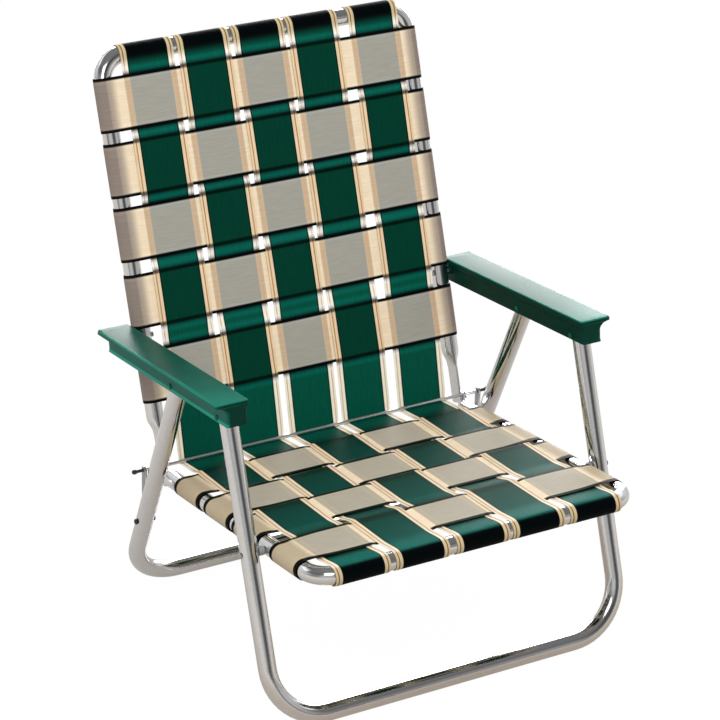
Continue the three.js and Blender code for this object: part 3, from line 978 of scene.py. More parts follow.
@dataclass
class TubeLoop:
    """A U of bent tube in one plane, as the frames and the leg loops are."""

    name: str
    body: str
    plane: SidePlane
    half: float
    start: float
    cross: float
    bend: float
    flat_end: FlatEnd | None = None
    wall: float = 1.2 * MM
    sides: int = 40
    bend_steps: int = 14
    line_stretch: float = 0.02
    sharp: float = 40.0

    def way(self) -> float:
        """The sign of the run from the ends to the cross run."""
        return math.copysign(1.0, self.cross - self.start)

    def build(self) -> Piece:
        """Bends the tube from one end to the other.

        Returns:
            The tube.
        """
        way = self.way()
        ahead = self.plane.along * way
        clear_selection()
        first = self.plane.point(-self.half, self.start, 0)
        turn = ahead.to_track_quat("Z", "Y").to_euler()
        bpy.ops.mesh.primitive_circle_add(vertices=self.sides, radius=TUBE_R, location=first, rotation=turn)
        bench = Bench(f"{self.name}_tube")
        bpy.ops.mesh.select_all(action="SELECT")
        bend_from = self.cross - way * self.bend
        stops = [self.start]
        if self.flat_end:
            stops += self.flat_end.stations(self.start)
        stops.append(bend_from)
        for low, high in zip(stops, stops[1:]):
            bench.extrude(self.plane.along * (high - low))
        inner = self.half - self.bend
        bench.spin(ahead, ACROSS, self.plane.point(-inner, bend_from, 0), self.bend_steps)
        bench.extrude(ACROSS * (2 * inner))
        bench.spin(ACROSS, -ahead, self.plane.point(inner, bend_from, 0), self.bend_steps)
        stops.reverse()
        for high, low in zip(stops, stops[1:]):
            bench.extrude(self.plane.along * (low - high))
        tube = bench.done()
        if self.flat_end:
            self.crimp(tube)
        apply_modifier(tube, "SOLIDIFY", thickness=self.wall, offset=-1.0, use_even_offset=True)
        return tube

    def crimp(self, tube: Piece) -> None:
        """Presses the two ends of the tube flat.

        Args:
            tube: the bent tube.
        """
        end = self.flat_end
        for vert in tube.data.vertices:
            x, run, lift = self.plane.local(vert.co)
            if run > end.tab + end.taper - TINY:
                continue
            side = math.copysign(1.0, x)
            angle = math.atan2(lift, side * x - self.half)
            wide, high, out = end.shape(run, self.start, angle)
            vert.co = self.plane.point(side * (self.half + wide + out), run, high)

    def draw_lines(self, tube: Piece) -> None:
        """Stores where each point lies round and along the tube, for lines that follow it.

        Args:
            tube: the bent tube.
        """
        values: list[float] = []
        inner = self.half - self.bend
        for vert in tube.data.vertices:
            x, run, lift = self.plane.local(vert.co)
            depth = (self.cross - run) * self.way()
            reach = abs(x)
            if depth >= self.bend:
                far = inner + self.bend * math.pi / 2 + depth - self.bend
                out = reach - self.half
            elif reach <= inner:
                far = reach
                out = -depth
            else:
                far = inner + self.bend * math.atan2(reach - inner, self.bend - depth)
                out = math.hypot(reach - inner, self.bend - depth) - self.bend
            values += [out, lift, math.copysign(far, x) * self.line_stretch]
        layer = tube.data.attributes.new("drawn", "FLOAT_VECTOR", "POINT")
        layer.data.foreach_set("vector", values)

    def finish(self, tube: Piece) -> None:
        """Smooths, dresses and mounts the bent tube.

        Args:
            tube: the bent tube.
        """
        self.draw_lines(tube)
        smooth(tube, self.sharp)
        mount(tube, self.body, "tube_aluminium", TUBE, self.name)


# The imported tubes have 16 sides, and the floor rails stand on one of them.
RAIL_Z = TUBE_R * math.cos(math.pi / 16)


@dataclass
class FrameLoops:
    """The four loops of the chair: back, seat, front legs and rear legs."""

    corner: float = 36 * MM
    leg_bend: float = 80 * MM
    leg_top: float = 11 * MM
    tab_end: float = -12 * MM
    back_end: FlatEnd = FlatEnd(42 * MM, 28 * MM, 42 * MM, 12.7 * MM, 1 * MM, 0.0)
    seat_end: FlatEnd = FlatEnd(8 * MM, 8.5 * MM, 4.5 * MM, 15.5 * MM, 6 * MM, 8 * MM)
    front_lean: float = 17.84
    rear_lean: float = -26.0
    rail_in: float = 0.25 * MM
    slot: tuple[float, float, float] = (5.4 * MM, 54 * MM, 64 * MM)
    slot_depth: float = 9 * MM
    slot_corner: float = 2 * MM

    def leg_plane(self, node: str, lean: float) -> SidePlane:
        """The plane of a leg loop, through its floor rail.

        Args:
            node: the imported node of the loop.
            lean: degrees that the loop leans back from upright.

        Returns:
            The plane.
        """
        low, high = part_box(node)
        rail_y = low.y + TUBE_R if lean > 0 else high.y - TUBE_R
        rail_y += math.copysign(self.rail_in, -lean)
        return slanted(Vector((0, rail_y, RAIL_Z)), lean, offset=0.0, forward=False)

    def build(self) -> None:
        """Bends, slots and mounts the four loops."""
        start, bend = self.tab_end, self.corner
        loops = [
            TubeLoop("back_frame", "back", BACK_PLANE, BACK_HALF, start, BACK_LEN, bend, self.back_end),
            TubeLoop("seat_frame", "seat", SEAT_PLANE, SEAT_HALF, start, SEAT_LEN, bend, self.seat_end),
        ]
        for body, lean, pivot in (
            ("front_legs", self.front_lean, FRONT_PIVOT),
            ("rear_legs", self.rear_lean, REAR_PIVOT),
        ):
            node = f"{body.removesuffix('s')}_frame"
            plane = self.leg_plane(node, lean)
            top = plane.local(pivot)[1] + self.leg_top
            loops.append(TubeLoop(node, body, plane, LEG_X, top, 0.0, self.leg_bend))
        for loop in loops:
            tube = loop.build()
            if loop.body == "rear_legs":
                self.cut_slots(tube, loop.plane)
            loop.finish(tube)

    def cut_slots(self, tube: Piece, plane: SidePlane) -> None:
        """Cuts the slot for the short link into the rear of each rear leg.

        Args:
            tube: the rear legs' tube.
            plane: the plane of its loop.
        """
        wide, up, down = self.slot
        deep = self.slot_depth + TUBE_R
        run = plane.local(LINK_PIN)[1] + (up - down) / 2
        for side in Side:
            clear_selection()
            place = plane.point(side.value * LEG_X, run, self.slot_depth - deep)
            bpy.ops.mesh.primitive_cube_add(size=1, scale=(wide, 2 * deep, up + down), location=place)
            cutter = bpy.context.active_object
            cutter.rotation_euler.x = math.radians(-self.rear_lean)
            bpy.ops.object.transform_apply(location=True, rotation=True, scale=True)
            soften(cutter, self.slot_corner, segments=4, limit=80)
            cut_away(tube, cutter)


# Turned fittings

PIN_R = 3 * MM
HEAD_R = 4.4 * MM
HEAD_T = 1.9 * MM
FIT = 0.3 * MM
FITTING_SHARP = 50.0
# How a rivet's head narrows: shares of its height and of its radius.
RIVET_DOME: Knots = ((0.0, 1.0), (0.45, 0.95), (0.8, 0.76), (1.0, 0.4))


@dataclass(frozen=True)
class Turned:
    """A round fitting along X, given by stations of a distance out from the middle and a radius."""

    name: str
    pivot: Vector
    stations: Knots
    sides: int = 28
    rounding: float = 0.35 * MM

    def build(self, side: Side) -> Piece:
        """Draws the fitting out station by station.

        Args:
            side: the side that it is on.

        Returns:
            The fitting.
        """
        sign = side.value
        clear_selection()
        out, radius = self.stations[0]
        place = self.pivot + ACROSS * (sign * out)
        bpy.ops.mesh.primitive_circle_add(
            vertices=self.sides, radius=radius, fill_type="NGON", location=place, rotation=(0, math.pi / 2, 0)
        )
        bench = Bench(f"{self.name}_turned")
        bpy.ops.mesh.select_all(action="SELECT")
        for far, wide in self.stations[1:]:
            bench.extrude(ACROSS * (sign * (far - out)))
            if wide != radius:
                ratio = wide / radius
                bpy.ops.transform.resize(value=(1, ratio, ratio))
            out, radius = far, wide
        fitting = bench.done()
        soften(fitting, self.rounding, 2, FITTING_SHARP)
        smooth(fitting, FITTING_SHARP)
        return fitting


def rivet_stations(inner: float, outer: float, head: float) -> Knots:
    """Stations of a rivet with a domed head outside each of two faces.

    Args:
        inner: the inner face's distance out from the middle.
        outer: the outer face's distance out from the middle.
        head: how far each head stands off its face.

    Returns:
        The stations.
    """
    low = inner - FIT
    high = outer + FIT
    dome = [(rise * head, share * HEAD_R) for rise, share in RIVET_DOME]
    first = [(low - rise, radius) for rise, radius in reversed(dome)]
    last = [(high + rise, radius) for rise, radius in dome]
    return (*first, (low, PIN_R), (high, PIN_R), *last)


@dataclass
class Fittings:
    """Rivets, bolts, spacers, hinge rod and short links."""

    stem: Pair = (264 * MM, 294 * MM)
    arm_wall: float = 1.7 * MM
    spacer_r: float = 6.5 * MM
    spacer_lip: Pair = (0.15, 0.94)
    link_thick: float = 3.5 * MM
    link_half: float = 5.5 * MM
    link_sides: int = 40
    link_rounding: float = 0.6 * MM
    stub: Pair = (2.4 * MM, 13 * MM)
    cap: Pair = (3.4 * MM, 6 * MM)
    cap_nose: Pair = (0.7, 0.6)
    pin_head: float = 3.4 * MM
    rod_sides: int = 24
    rod_rounding: float = 0.6 * MM

    def build(self) -> None:
        """Makes and mounts every fitting."""
        for side in Side:
            self.pivots(side)
            self.spacers(side)
            self.link(side)
            self.rod_cap(side)
        self.rod()

    def pivots(self, side: Side) -> None:
        """The rivets and bolts that the frames turn on, on one side.

        Args:
            side: the side.
        """
        leg = (LEG_X - TUBE_R, LEG_X + TUBE_R)
        through_back = (BACK_HALF - TUBE_R, self.stem[0] + self.arm_wall)
        through_seat = (SEAT_HALF - TUBE_R, leg[1])
        rows = (
            ("arm_back_rivet", "arms", BACK_PIVOT, through_back, RIVET),
            ("arm_front_rivet", "arms", FRONT_PIVOT, self.stem, ARM_RIVET),
            ("arm_rear_rivet", "arms", REAR_PIVOT, self.stem, ARM_RIVET),
            ("seat_bolt", "seat", SEAT_PIVOT, through_seat, RIVET),
            ("link_pin", "rear_legs", LINK_PIN, leg, DARK_STEEL),
        )
        for label, body, pivot, faces, finish in rows:
            name = f"{side.label}_{label}"
            dark = finish is DARK_STEEL
            stations = rivet_stations(*faces, self.pin_head if dark else HEAD_T)
            slot = "dark_steel" if dark else "rivet_aluminium"
            mount(Turned(name, pivot, stations).build(side), body, slot, finish, name)

    def spacers(self, side: Side) -> None:
        """The collars that keep the back and seat tubes off the arms and legs, on one side.

        Args:
            side: the side.
        """
        rows = (
            ("arm_spacer", "arms", BACK_PIVOT, BACK_HALF, self.stem[0], ARM, "arm_plastic"),
            ("seat_spacer", "seat", SEAT_PIVOT, SEAT_HALF, LEG_X - TUBE_R, SPACER, "spacer_plastic"),
        )
        share, narrow = self.spacer_lip
        for label, body, pivot, tube_x, face_x, finish, slot in rows:
            name = f"{side.label}_{label}"
            low, high = tube_x + TUBE_R + FIT, face_x - FIT
            lip = share * (high - low)
            r = self.spacer_r
            stations = ((low, narrow * r), (low + lip, r), (high - lip, r), (high, narrow * r))
            mount(Turned(name, pivot, stations).build(side), body, slot, finish, name)

    def link(self, side: Side) -> None:
        """The short link from the hinge rod to the rear leg, on one side.

        Args:
            side: the side.
        """
        name = f"{side.label}_link"
        clear_selection()
        bpy.ops.mesh.primitive_cylinder_add(
            vertices=self.link_sides, radius=self.link_half, depth=self.link_thick,
            location=HINGE + ACROSS * (side.value * LEG_X), rotation=(0, math.pi / 2, 0),
        )
        bench = Bench(f"{name}_plate")
        reach = LINK_PIN - HINGE
        bench.pick(lambda co: (co - HINGE).dot(reach) > TINY)
        bench.move(reach)
        plate = bench.done()
        soften(plate, self.link_rounding, 3, FITTING_SHARP)
        smooth(plate, FITTING_SHARP)
        mount(plate, "links", "dark_steel", LINK, name)

    def rod_cap(self, side: Side) -> None:
        """The hinge rod's stub outside the rear leg, with its end cap, on one side.

        Args:
            side: the side.
        """
        name = f"{side.label}_rod_cap"
        low = LEG_X - self.link_thick / 2 - FIT
        eye = LEG_X + self.link_thick / 2 + FIT
        stub_r, stub_len = self.stub
        high = LEG_X + stub_len
        cap_r, cap_len = self.cap
        straight, nose = self.cap_nose
        stations = (
            (low, PIN_R), (eye, PIN_R), (eye, stub_r), (high, stub_r), (high, cap_r),
            (high + straight * cap_len, cap_r), (high + cap_len, nose * cap_r),
        )
        mount(Turned(name, HINGE, stations).build(side), "links", "dark_steel", DARK_STEEL, name)

    def rod(self) -> None:
        """The hinge rod through the crease of the seat."""
        end = LEG_X - self.link_thick / 2 - 2 * FIT
        rod = Turned("hinge_rod", HINGE, ((-end, ROD_R), (end, ROD_R)), self.rod_sides, self.rod_rounding)
        mount(rod.build(Side.RIGHT), "seat", "rod_steel", ROD, "hinge_rod")


# Arms


@dataclass
class Armrest:
    """A moulded arm: a flat top with an outer overhang, on a stem that is hollow below."""

    inner_x: float = 261 * MM
    width: float = 49.2 * MM
    height: float = 34.8 * MM
    rear: float = 18.6 * MM
    front: float = 366 * MM
    slope: float = 5.85
    depth: float = 16.3 * MM
    stem_in: float = 3 * MM
    stem: float = 30 * MM
    lip: float = 5.8 * MM
    cove: float = 12 * MM
    cove_steps: int = 6
    step: float = 4 * MM
    step_from: float = 0.2
    wall: float = 1.7 * MM
    plate: float = 5 * MM
    corner: float = 4.5 * MM
    corner_room: float = 0.5 * MM
    crown: Pair = (4.5 * MM, 0.9 * MM)
    rim: float = 2 * MM
    foot: Pair = (4.5 * MM, 1.2 * MM)
    rounding: float = 0.9 * MM
    # Painted light on the arm, as shares of its painted light colour: the outer side by depth below the top,
    # brightest at the foot; the top by the place along it, lighter to the front; and the rim.
    side_light: Knots = ((6 * MM, 0.25), (14 * MM, 0.36), (28 * MM, 0.33), (30 * MM, 1.0))
    top_light: Knots = ((0.0, 0.21), (190 * MM, 0.19), (290 * MM, 0.31), (350 * MM, 0.60))
    rim_light: float = 0.60
    rim_slope: float = 0.4
    top_slope: float = 0.993
    under_slope: float = -0.9
    corner_steps: int = 5
    rim_steps: int = 4
    soft_from: float = 28.0
    sharp: float = 35.0

    def build(self) -> None:
        """Models the right arm, copies it to the left and mounts both."""
        arm = self.shape()
        angle = math.radians(self.slope)
        up = Vector((0, math.sin(angle), math.cos(angle)))
        ahead = Vector((0, -math.cos(angle), math.sin(angle)))
        base = BACK_PIVOT + up * self.depth
        for side in Side:
            out = ACROSS * side.value
            turn = Matrix((out, ahead, up)).transposed().to_4x4()
            place = Matrix.Translation(base + out * self.inner_x) @ turn
            name = f"{side.label}_arm"
            mount(placed_copy(arm, f"{name}_moulding", place), "arms", "arm_plastic", ARM, name)
        bpy.data.objects.remove(arm)

    def shape(self) -> Piece:
        """Models an arm: x outwards from its inner lip, y forward, z up from its top.

        Returns:
            The arm.
        """
        length = self.front + self.rear
        middle = Vector((self.width / 2, (self.front - self.rear) / 2, -self.height / 2))
        clear_selection()
        bpy.ops.mesh.primitive_cube_add(size=1, scale=(self.width, length, self.height), location=middle)
        bench = Bench("arm_master")
        bench.pick_edges(lambda a, b: abs(a.z - b.z) > self.height / 2)
        bpy.ops.mesh.bevel(offset=self.corner, segments=self.corner_steps, affect="EDGES")
        self.hollow_side(bench)
        self.spread_foot(bench)
        self.crown_top(bench)
        for along, _ in self.top_light:
            bench.bisect(Vector((0, along, 0)), Vector((0, 1, 0)))
        self.round_rim(bench)
        self.hollow_below(bench)
        arm = bench.done()
        soften(arm, self.rounding, segments=3, limit=self.soft_from)
        smooth(arm, self.sharp)
        self.paint_light(arm)
        return arm

    def paint_light(self, arm: Piece) -> None:
        """Stores the painted light on the arm: its rim most, as a painted highlight, its top more to the
        front, its outer side to the foot, where it is a painted highlight.

        Args:
            arm: the finished arm.
        """
        mesh = arm.data
        painted_light = []
        for face in mesh.polygons:
            rim = self.rim_light * min(1.0, max(0.0, face.normal.z) / self.rim_slope)
            side = between(self.side_light, -face.center.z) * face.normal.x
            for index in face.vertices:
                top = between(self.top_light, mesh.vertices[index].co.y)
                painted_light.append(max(top if face.normal.z > self.top_slope else rim, side))
        mesh.attributes.new("painted_light", "FLOAT", "CORNER").data.foreach_set("value", painted_light)

    def hollow_side(self, bench: Bench) -> None:
        """Draws the sides in under the lips: a round cove outside, a small step inside.

        Args:
            bench: the arm in hand.
        """
        full = self.width - self.stem_in - self.stem
        turns = [math.pi / 2 * i / self.cove_steps for i in range(self.cove_steps + 1)]
        outer = [(-self.lip - self.cove * (1 - math.cos(t)), full * math.sin(t)) for t in turns]
        inner = -self.lip - self.step
        for level in [level for level, _ in outer] + [inner, -self.lip - self.step_from * self.step]:
            bench.bisect(Vector((0, 0, level)), Vector((0, 0, 1)))
        edge = self.corner + self.corner_room
        for (level, inset), (below, _) in zip(outer, outer[1:] + [(-1.0, 0.0)]):
            bench.pick(lambda co: co.x > self.width - edge and below + NEAR < co.z < level + NEAR)
            bench.move(Vector((-inset, 0, 0)))
        bench.pick(lambda co: co.x < edge and co.z < inner + NEAR)
        bench.move(Vector((self.stem_in, 0, 0)))

    def spread_foot(self, bench: Bench) -> None:
        """Spreads the outer side a little at its foot.

        Args:
            bench: the arm in hand.
        """
        rise, out = self.foot
        bench.bisect(Vector((0, 0, rise - self.height)), Vector((0, 0, 1)))
        edge = self.stem_in + self.stem - self.corner - self.corner_room
        bench.pick(lambda co: co.x > edge and co.z < -self.height + NEAR)
        bench.move(Vector((out, 0, 0)))

    def crown_top(self, bench: Bench) -> None:
        """Slopes the outer band of the top down to its edge.

        Args:
            bench: the arm in hand.
        """
        band, drop = self.crown
        bench.bisect(Vector((self.width - band, 0, 0)), Vector((1, 0, 0)))
        bench.pick(lambda co: co.x > self.width - band + NEAR and co.z > -NEAR)
        bench.move(Vector((0, 0, -drop)))

    def round_rim(self, bench: Bench) -> None:
        """Rounds the edge all round the top.

        Args:
            bench: the arm in hand.
        """
        band, drop = self.crown
        fold = self.width - band

        def outline(a: Vector, b: Vector) -> bool:
            """Whether an edge lies on the outline of the top."""
            inside = abs(a.x - fold) < NEAR and abs(b.x - fold) < NEAR
            return min(a.z, b.z) > -drop - NEAR and not inside

        bench.pick_edges(outline)
        bpy.ops.mesh.bevel(offset=self.rim, segments=self.rim_steps, affect="EDGES")

    def hollow_below(self, bench: Bench) -> None:
        """Hollows the stem from below.

        Args:
            bench: the arm in hand.
        """
        foot = -self.height + NEAR
        bench.pick_faces(lambda middle, normal: normal.z < self.under_slope and middle.z < foot)
        bpy.ops.mesh.inset(thickness=self.wall, use_even_offset=True)
        bench.extrude(Vector((0, 0, self.height - self.plate)))


# Woven straps


@dataclass(frozen=True)
class Spot:
    """A place on a strap's middle line, and what the strap's look there depends on."""

    place: Vector
    crossing: float = CROSSING_SPAN
    backed: float = 0.0
    lying: float = 0.0
    fore: float = 0.0
    tilt: float = 0.0


@dataclass
class Strap:
    """A flat woven strap laid along its middle line."""

    name: str
    width: float
    across: Vector
    spots: list[Spot]
    normals: list[Vector]
    columns: int = 12
    edge: float = 0.55
    sharp: float = 50.0

    def length(self) -> float:
        """The strap's length along its middle line."""
        return sum((b.place - a.place).length for a, b in zip(self.spots, self.spots[1:]))

    def build(self) -> Piece:
        """Lays the strap out as a thin closed band.

        Returns:
            The strap.
        """
        places: list[Vector] = []
        labels = ("crossing", "backed", "lying", "fore", "across", "along")
        layers: dict[str, list[float]] = {label: [] for label in labels}
        run = 0.0
        last = self.spots[0].place
        for spot, normal in zip(self.spots, self.normals):
            run += (spot.place - last).length
            last = spot.place
            for face in (1, -1):
                for column in range(self.columns + 1):
                    offset = (column / self.columns - 0.5) * self.width
                    rim = column in (0, self.columns)
                    lift = face * STRAP_T / 2 * (self.edge if rim else 1.0) + spot.tilt * offset
                    places.append(spot.place + self.across * offset + normal * lift)
                    values = (spot.crossing, spot.backed, spot.lying, spot.fore, offset, run)
                    for label, value in zip(labels, values):
                        layers[label].append(value)
        mesh = bpy.data.meshes.new(self.name)
        mesh.from_pydata(places, [], self.faces())
        for label, values in layers.items():
            mesh.attributes.new(label, "FLOAT", "POINT").data.foreach_set("value", values)
        obj = bpy.data.objects.new(self.name, mesh)
        bpy.context.scene.collection.objects.link(obj)
        make_active(obj)
        bpy.ops.object.mode_set(mode="EDIT")
        bpy.ops.mesh.select_all(action="SELECT")
        bpy.ops.mesh.normals_make_consistent(inside=False)
        bpy.ops.object.mode_set(mode="OBJECT")
        smooth(obj, self.sharp)
        return obj

    def faces(self) -> list[tuple[int, ...]]:
        """The band's faces: its two sides, its rims and its ends.

        Returns:
            The faces as vertex numbers.
        """
        count = self.columns + 1
        ring = list(range(count)) + list(range(2 * count - 1, count - 1, -1))
        size = 2 * count
        end = (len(self.spots) - 1) * size
        faces: list[tuple[int, ...]] = []
        for low in range(0, end, size):
            for a, b in zip(ring, ring[1:] + ring[:1]):
                faces.append((low + a, low + b, low + size + b, low + size + a))
        for low in (0, end):
            for a in range(low, low + self.columns):
                faces.append((a, a + 1, a + count + 1, a + count))
        return faces


@dataclass(frozen=True)
class Crossing:
    """A strap that another one crosses: where, and which way that one passes it."""

    centre: float
    way: Weave


# Painted light and shade on a long strap of the seat, from the middle of a cross strap that it passes under
# or over.
PAINTED_SEAT_LIGHT: dict[Weave, Knots] = {
    Weave.UNDER: (
        (-70 * MM, 0.8),
        (-48 * MM, 0.45),
        (-41 * MM, 0.08),
        (41 * MM, 0.0),
        (48 * MM, 0.6),
        (55 * MM, 1.0),
    ),
    Weave.OVER: (
        (-47 * MM, 0.50),
        (-37 * MM, 0.05),
        (-30 * MM, 0.10),
        (-22 * MM, 0.34),
        (34 * MM, 0.50),
        (43 * MM, 0.60),
        (51 * MM, 0.80),
        (62 * MM, 0.95),
    ),
}


@dataclass
class WeavePlan:
    """How the straps of the back and seat run over and under each other."""

    gap: float = 0.45 * MM
    depth: float = 0.85 * MM
    step: float = 3.0 * MM
    wrap_end: float = 35.0
    wrap_steps: int = 20
    over_tube: float = 0.4
    shade_reach: float = 28 * MM
    fore_range: Pair = (0.45, 1.0)
    lying_from: Pair = (20 * MM, 46 * MM)

    def lift_off(self, radius: float) -> float:
        """The middle of a strap over the middle of a round bar that it lies on."""
        return radius + self.gap + STRAP_T / 2

    @property
    def lift(self) -> float:
        """The middle of a strap over the tube's own middle."""
        return self.lift_off(TUBE_R)

    def level(self, at: float, crossings: Sequence[Crossing], half: float, ends: Pair, tilt: float) -> float:
        """The height of a strap over the middle of the weave.

        Args:
            at: the place along the strap.
            crossings: the straps that it crosses, in order.
            half: half the width of a crossed strap.
            ends: where the strap leaves the weave, first and last.
            tilt: how steeply each crossed strap falls along this one.

        Returns:
            The height.
        """
        spots = [(ends[0], 0.0)]
        for c in crossings:
            lift = c.way.value * self.depth
            spots += [(c.centre - half, lift + tilt * half), (c.centre + half, lift - tilt * half)]
        spots.append((ends[1], 0.0))
        for index, ((low, before), (high, after)) in enumerate(zip(spots, spots[1:])):
            if at <= high:
                share = min(1.0, max(0.0, (at - low) / max(high - low, TINY)))
                return before + (after - before) * (share if index % 2 else ease(share))
        return 0.0

    def nearest(self, at: float, crossings: Sequence[Crossing]) -> float:
        """The distance along a strap to the nearest strap that it crosses."""
        return min(abs(at - c.centre) for c in crossings)

    def fore(self, at: float, crossings: Sequence[Crossing], end: float) -> float:
        """The painted light on a long strap of the seat: painted shade, darkest where it comes out from under
        a cross strap.

        Args:
            at: the place along the strap.
            crossings: the straps that it crosses.
            end: where the seat ends.

        Returns:
            0 dark to 1 light.
        """
        rear, front = self.fore_range
        reach = rear + (front - rear) * at / end
        return reach * min(between(PAINTED_SEAT_LIGHT[c.way], at - c.centre) for c in crossings)

    def backed(self, past: float, lift: float, over: float) -> float:
        """How much a tube lies behind a strap, which sets the strap's painted shade there.

        Args:
            past: how far the strap has gone past the tube's middle.
            lift: the strap's lift off the tube's middle.
            over: the share right over the tube's middle.

        Returns:
            0 clear of the tube, growing to 1 a quarter turn round it.
        """
        if past <= 0:
            return over * ease(1 + past / self.shade_reach)
        return over + (1 - over) * math.acos(max(0.0, min(1.0, lift / self.lift))) / (math.pi / 2)

    def wrap(self) -> list[Pair]:
        """The turn round a tube, from past its far side to its face.

        Returns:
            Pairs of the way out past the tube's middle and the way off its face, as lengths.
        """
        turn = math.radians(180 + self.wrap_end)
        angles = [turn * (1 - i / self.wrap_steps) for i in range(self.wrap_steps)]
        return [(math.sin(a) * self.lift, math.cos(a) * self.lift) for a in angles]


@dataclass
class SeatWebbing:
    """All the straps of the chair: the long ones from top rail to seat front, and the cross ones."""

    plan: WeavePlan
    long_top: tuple[float, ...] = (-178.5 * MM, -89.5 * MM, -0.5 * MM, 87 * MM, 187.5 * MM)
    long_front: tuple[float, ...] = (-184 * MM, -93 * MM, 0.5 * MM, 88.5 * MM, 180 * MM)
    back_rows: tuple[float, ...] = (522 * MM, 428.5 * MM, 336.5 * MM, 240 * MM, 131.5 * MM)
    seat_rows: tuple[float, ...] = (93 * MM, 187.5 * MM, 275 * MM, 389 * MM)
    seat_tilt: float = 0.052
    level_ends: Pair = (10 * MM, 60 * MM)
    fold_reach: float = 6 * MM
    past_rod: float = 3 * MM
    first_dip: float = 8 * MM
    crease_steps: int = 8

    def long_x(self, column: int, run: float) -> float:
        """The x of a long strap at a run from the hinge, less than 0 up the back."""
        share = (run + BACK_LEN) / (BACK_LEN + SEAT_LEN)
        return self.long_top[column] + (self.long_front[column] - self.long_top[column]) * share

    def long_over(self, row: int, column: int, seat: bool) -> bool:
        """Whether the long strap of a column lies over the cross strap of a row."""
        return (row + column + (0 if seat else 1)) % 2 == 0

    def build(self) -> None:
        """Lays, dresses and mounts every strap."""
        for row in range(len(self.back_rows)):
            self.cross_strap(row, False)
        for row in range(len(self.seat_rows)):
            self.cross_strap(row, True)
        for column in range(len(self.long_top)):
            self.long_strap(column)

    def cross_strap(self, row: int, seat: bool) -> None:
        """Lays one cross strap round the two side tubes.

        Args:
            row: its number, from the top of the back or from the rear of the seat.
            seat: True on the seat.
        """
        plan = self.plan
        plane = SEAT_PLANE if seat else BACK_PLANE
        half = SEAT_HALF if seat else BACK_HALF
        run = (self.seat_rows if seat else self.back_rows)[row]
        signed = run if seat else -run
        crossings = [
            Crossing(self.long_x(c, signed), Weave.UNDER if self.long_over(row, c, seat) else Weave.OVER)
            for c in range(len(self.long_top))
        ]
        turns = plan.wrap()
        line = [(-half - out, off) for out, off in turns]
        count = int(2 * half / plan.step)
        for i in range(count + 1):
            x = -half + 2 * half * i / count
            line.append((x, plan.lift + plan.level(x, crossings, LONG_W / 2, (-half, half), 0.0)))
        line += [(half + out, off) for out, off in reversed(turns)]
        spots = []
        near, far = self.level_ends
        for x, lift in line:
            backed = plan.backed(abs(x) - half, lift, plan.over_tube)
            tilt = -self.seat_tilt * ease((half - near - abs(x)) / (far - near)) if seat else 0.0
            spots.append(Spot(plane.point(x, run, lift), plan.nearest(x, crossings), backed, tilt=tilt))
        normals = [ACROSS * x + plane.face * y for x, y in line_normals(line)]
        where = "seat" if seat else "back"
        name = f"{where}_cross_strap_{row + 1}"
        strap = Strap(f"{name}_webbing", CROSS_W, plane.along, spots, normals)
        obj = mount(strap.build(), where, "web_tan", SEAT_CROSS if seat else BACK_CROSS, name)

    def long_strap(self, column: int) -> None:
        """Lays one long strap from the top rail, behind the hinge rod and on to the front of the seat.

        Args:
            column: the strap's number from the left.
        """
        back, seat = (
            [
                Crossing(run, Weave.OVER if self.long_over(row, column, on_seat) else Weave.UNDER)
                for row, run in enumerate(rows)
            ]
            for rows, on_seat in ((self.back_rows, False), (self.seat_rows, True))
        )
        spots = self.half_run(column, BACK_PLANE, back[::-1], BACK_LEN, False)
        spots.reverse()
        spots += self.crease(column)
        spots += self.half_run(column, SEAT_PLANE, seat, SEAT_LEN, True)
        normals = [Vector((0, y, z)) for y, z in line_normals([(s.place.y, s.place.z) for s in spots])]
        name = f"long_strap_{column + 1}"
        strap = Strap(name, LONG_W, ACROSS, spots, normals)
        obj = strap.build()
        LONG_STRAP.dress(obj)
        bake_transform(obj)
        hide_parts(f"back_long_strap_{column + 1}", f"seat_long_strap_{column + 1}")
        LOG.info("%s: %d faces, from back to seat", name, len(obj.data.polygons))

    def half_run(
        self, column: int, plane: SidePlane, crossings: Sequence[Crossing], end: float, seat: bool
    ) -> list[Spot]:
        """A long strap's run over the back or the seat, from the hinge to its rail.

        Args:
            column: the strap's number from the left.
            plane: the back's or the seat's plane.
            crossings: the cross straps, from the hinge on.
            end: where the rail's middle lies.
            seat: True on the seat.

        Returns:
            The strap's spots.
        """
        plan = self.plan
        way, tilt, over = (1.0, self.seat_tilt, 0.0) if seat else (-1.0, 0.0, plan.over_tube)
        rod_run, rod_lift = plane.local(HINGE)[1:]
        low = rod_lift - plan.lift_off(ROD_R)
        start = rod_run + self.past_rod
        first = crossings[0].centre - CROSS_W / 2
        near, far = plan.lying_from
        spots: list[Spot] = []
        count = int((end - start) / plan.step)
        for i in range(count + 1):
            run = start + (end - start) * i / count
            lift = plan.lift + plan.level(run, crossings, CROSS_W / 2, (first - self.first_dip, end), tilt)
            if run < first:
                share = min(1.0, (run - start) / (first - start))
                lift = low + (lift - low) * share
            place = plane.point(self.long_x(column, way * run), run, lift)
            backed = plan.backed(run - end, plan.lift, over)
            lying = ease((run - near) / (far - near)) if seat else 0.0
            fore = plan.fore(run, crossings, end)
            spots.append(Spot(place, plan.nearest(run, crossings), backed, lying, fore))
        x = self.long_x(column, way * end)
        for out, off in reversed(plan.wrap()):
            place = plane.point(x, end + out, off)
            spots.append(Spot(place, backed=plan.backed(out, off, over), lying=lying, fore=fore))
        return spots

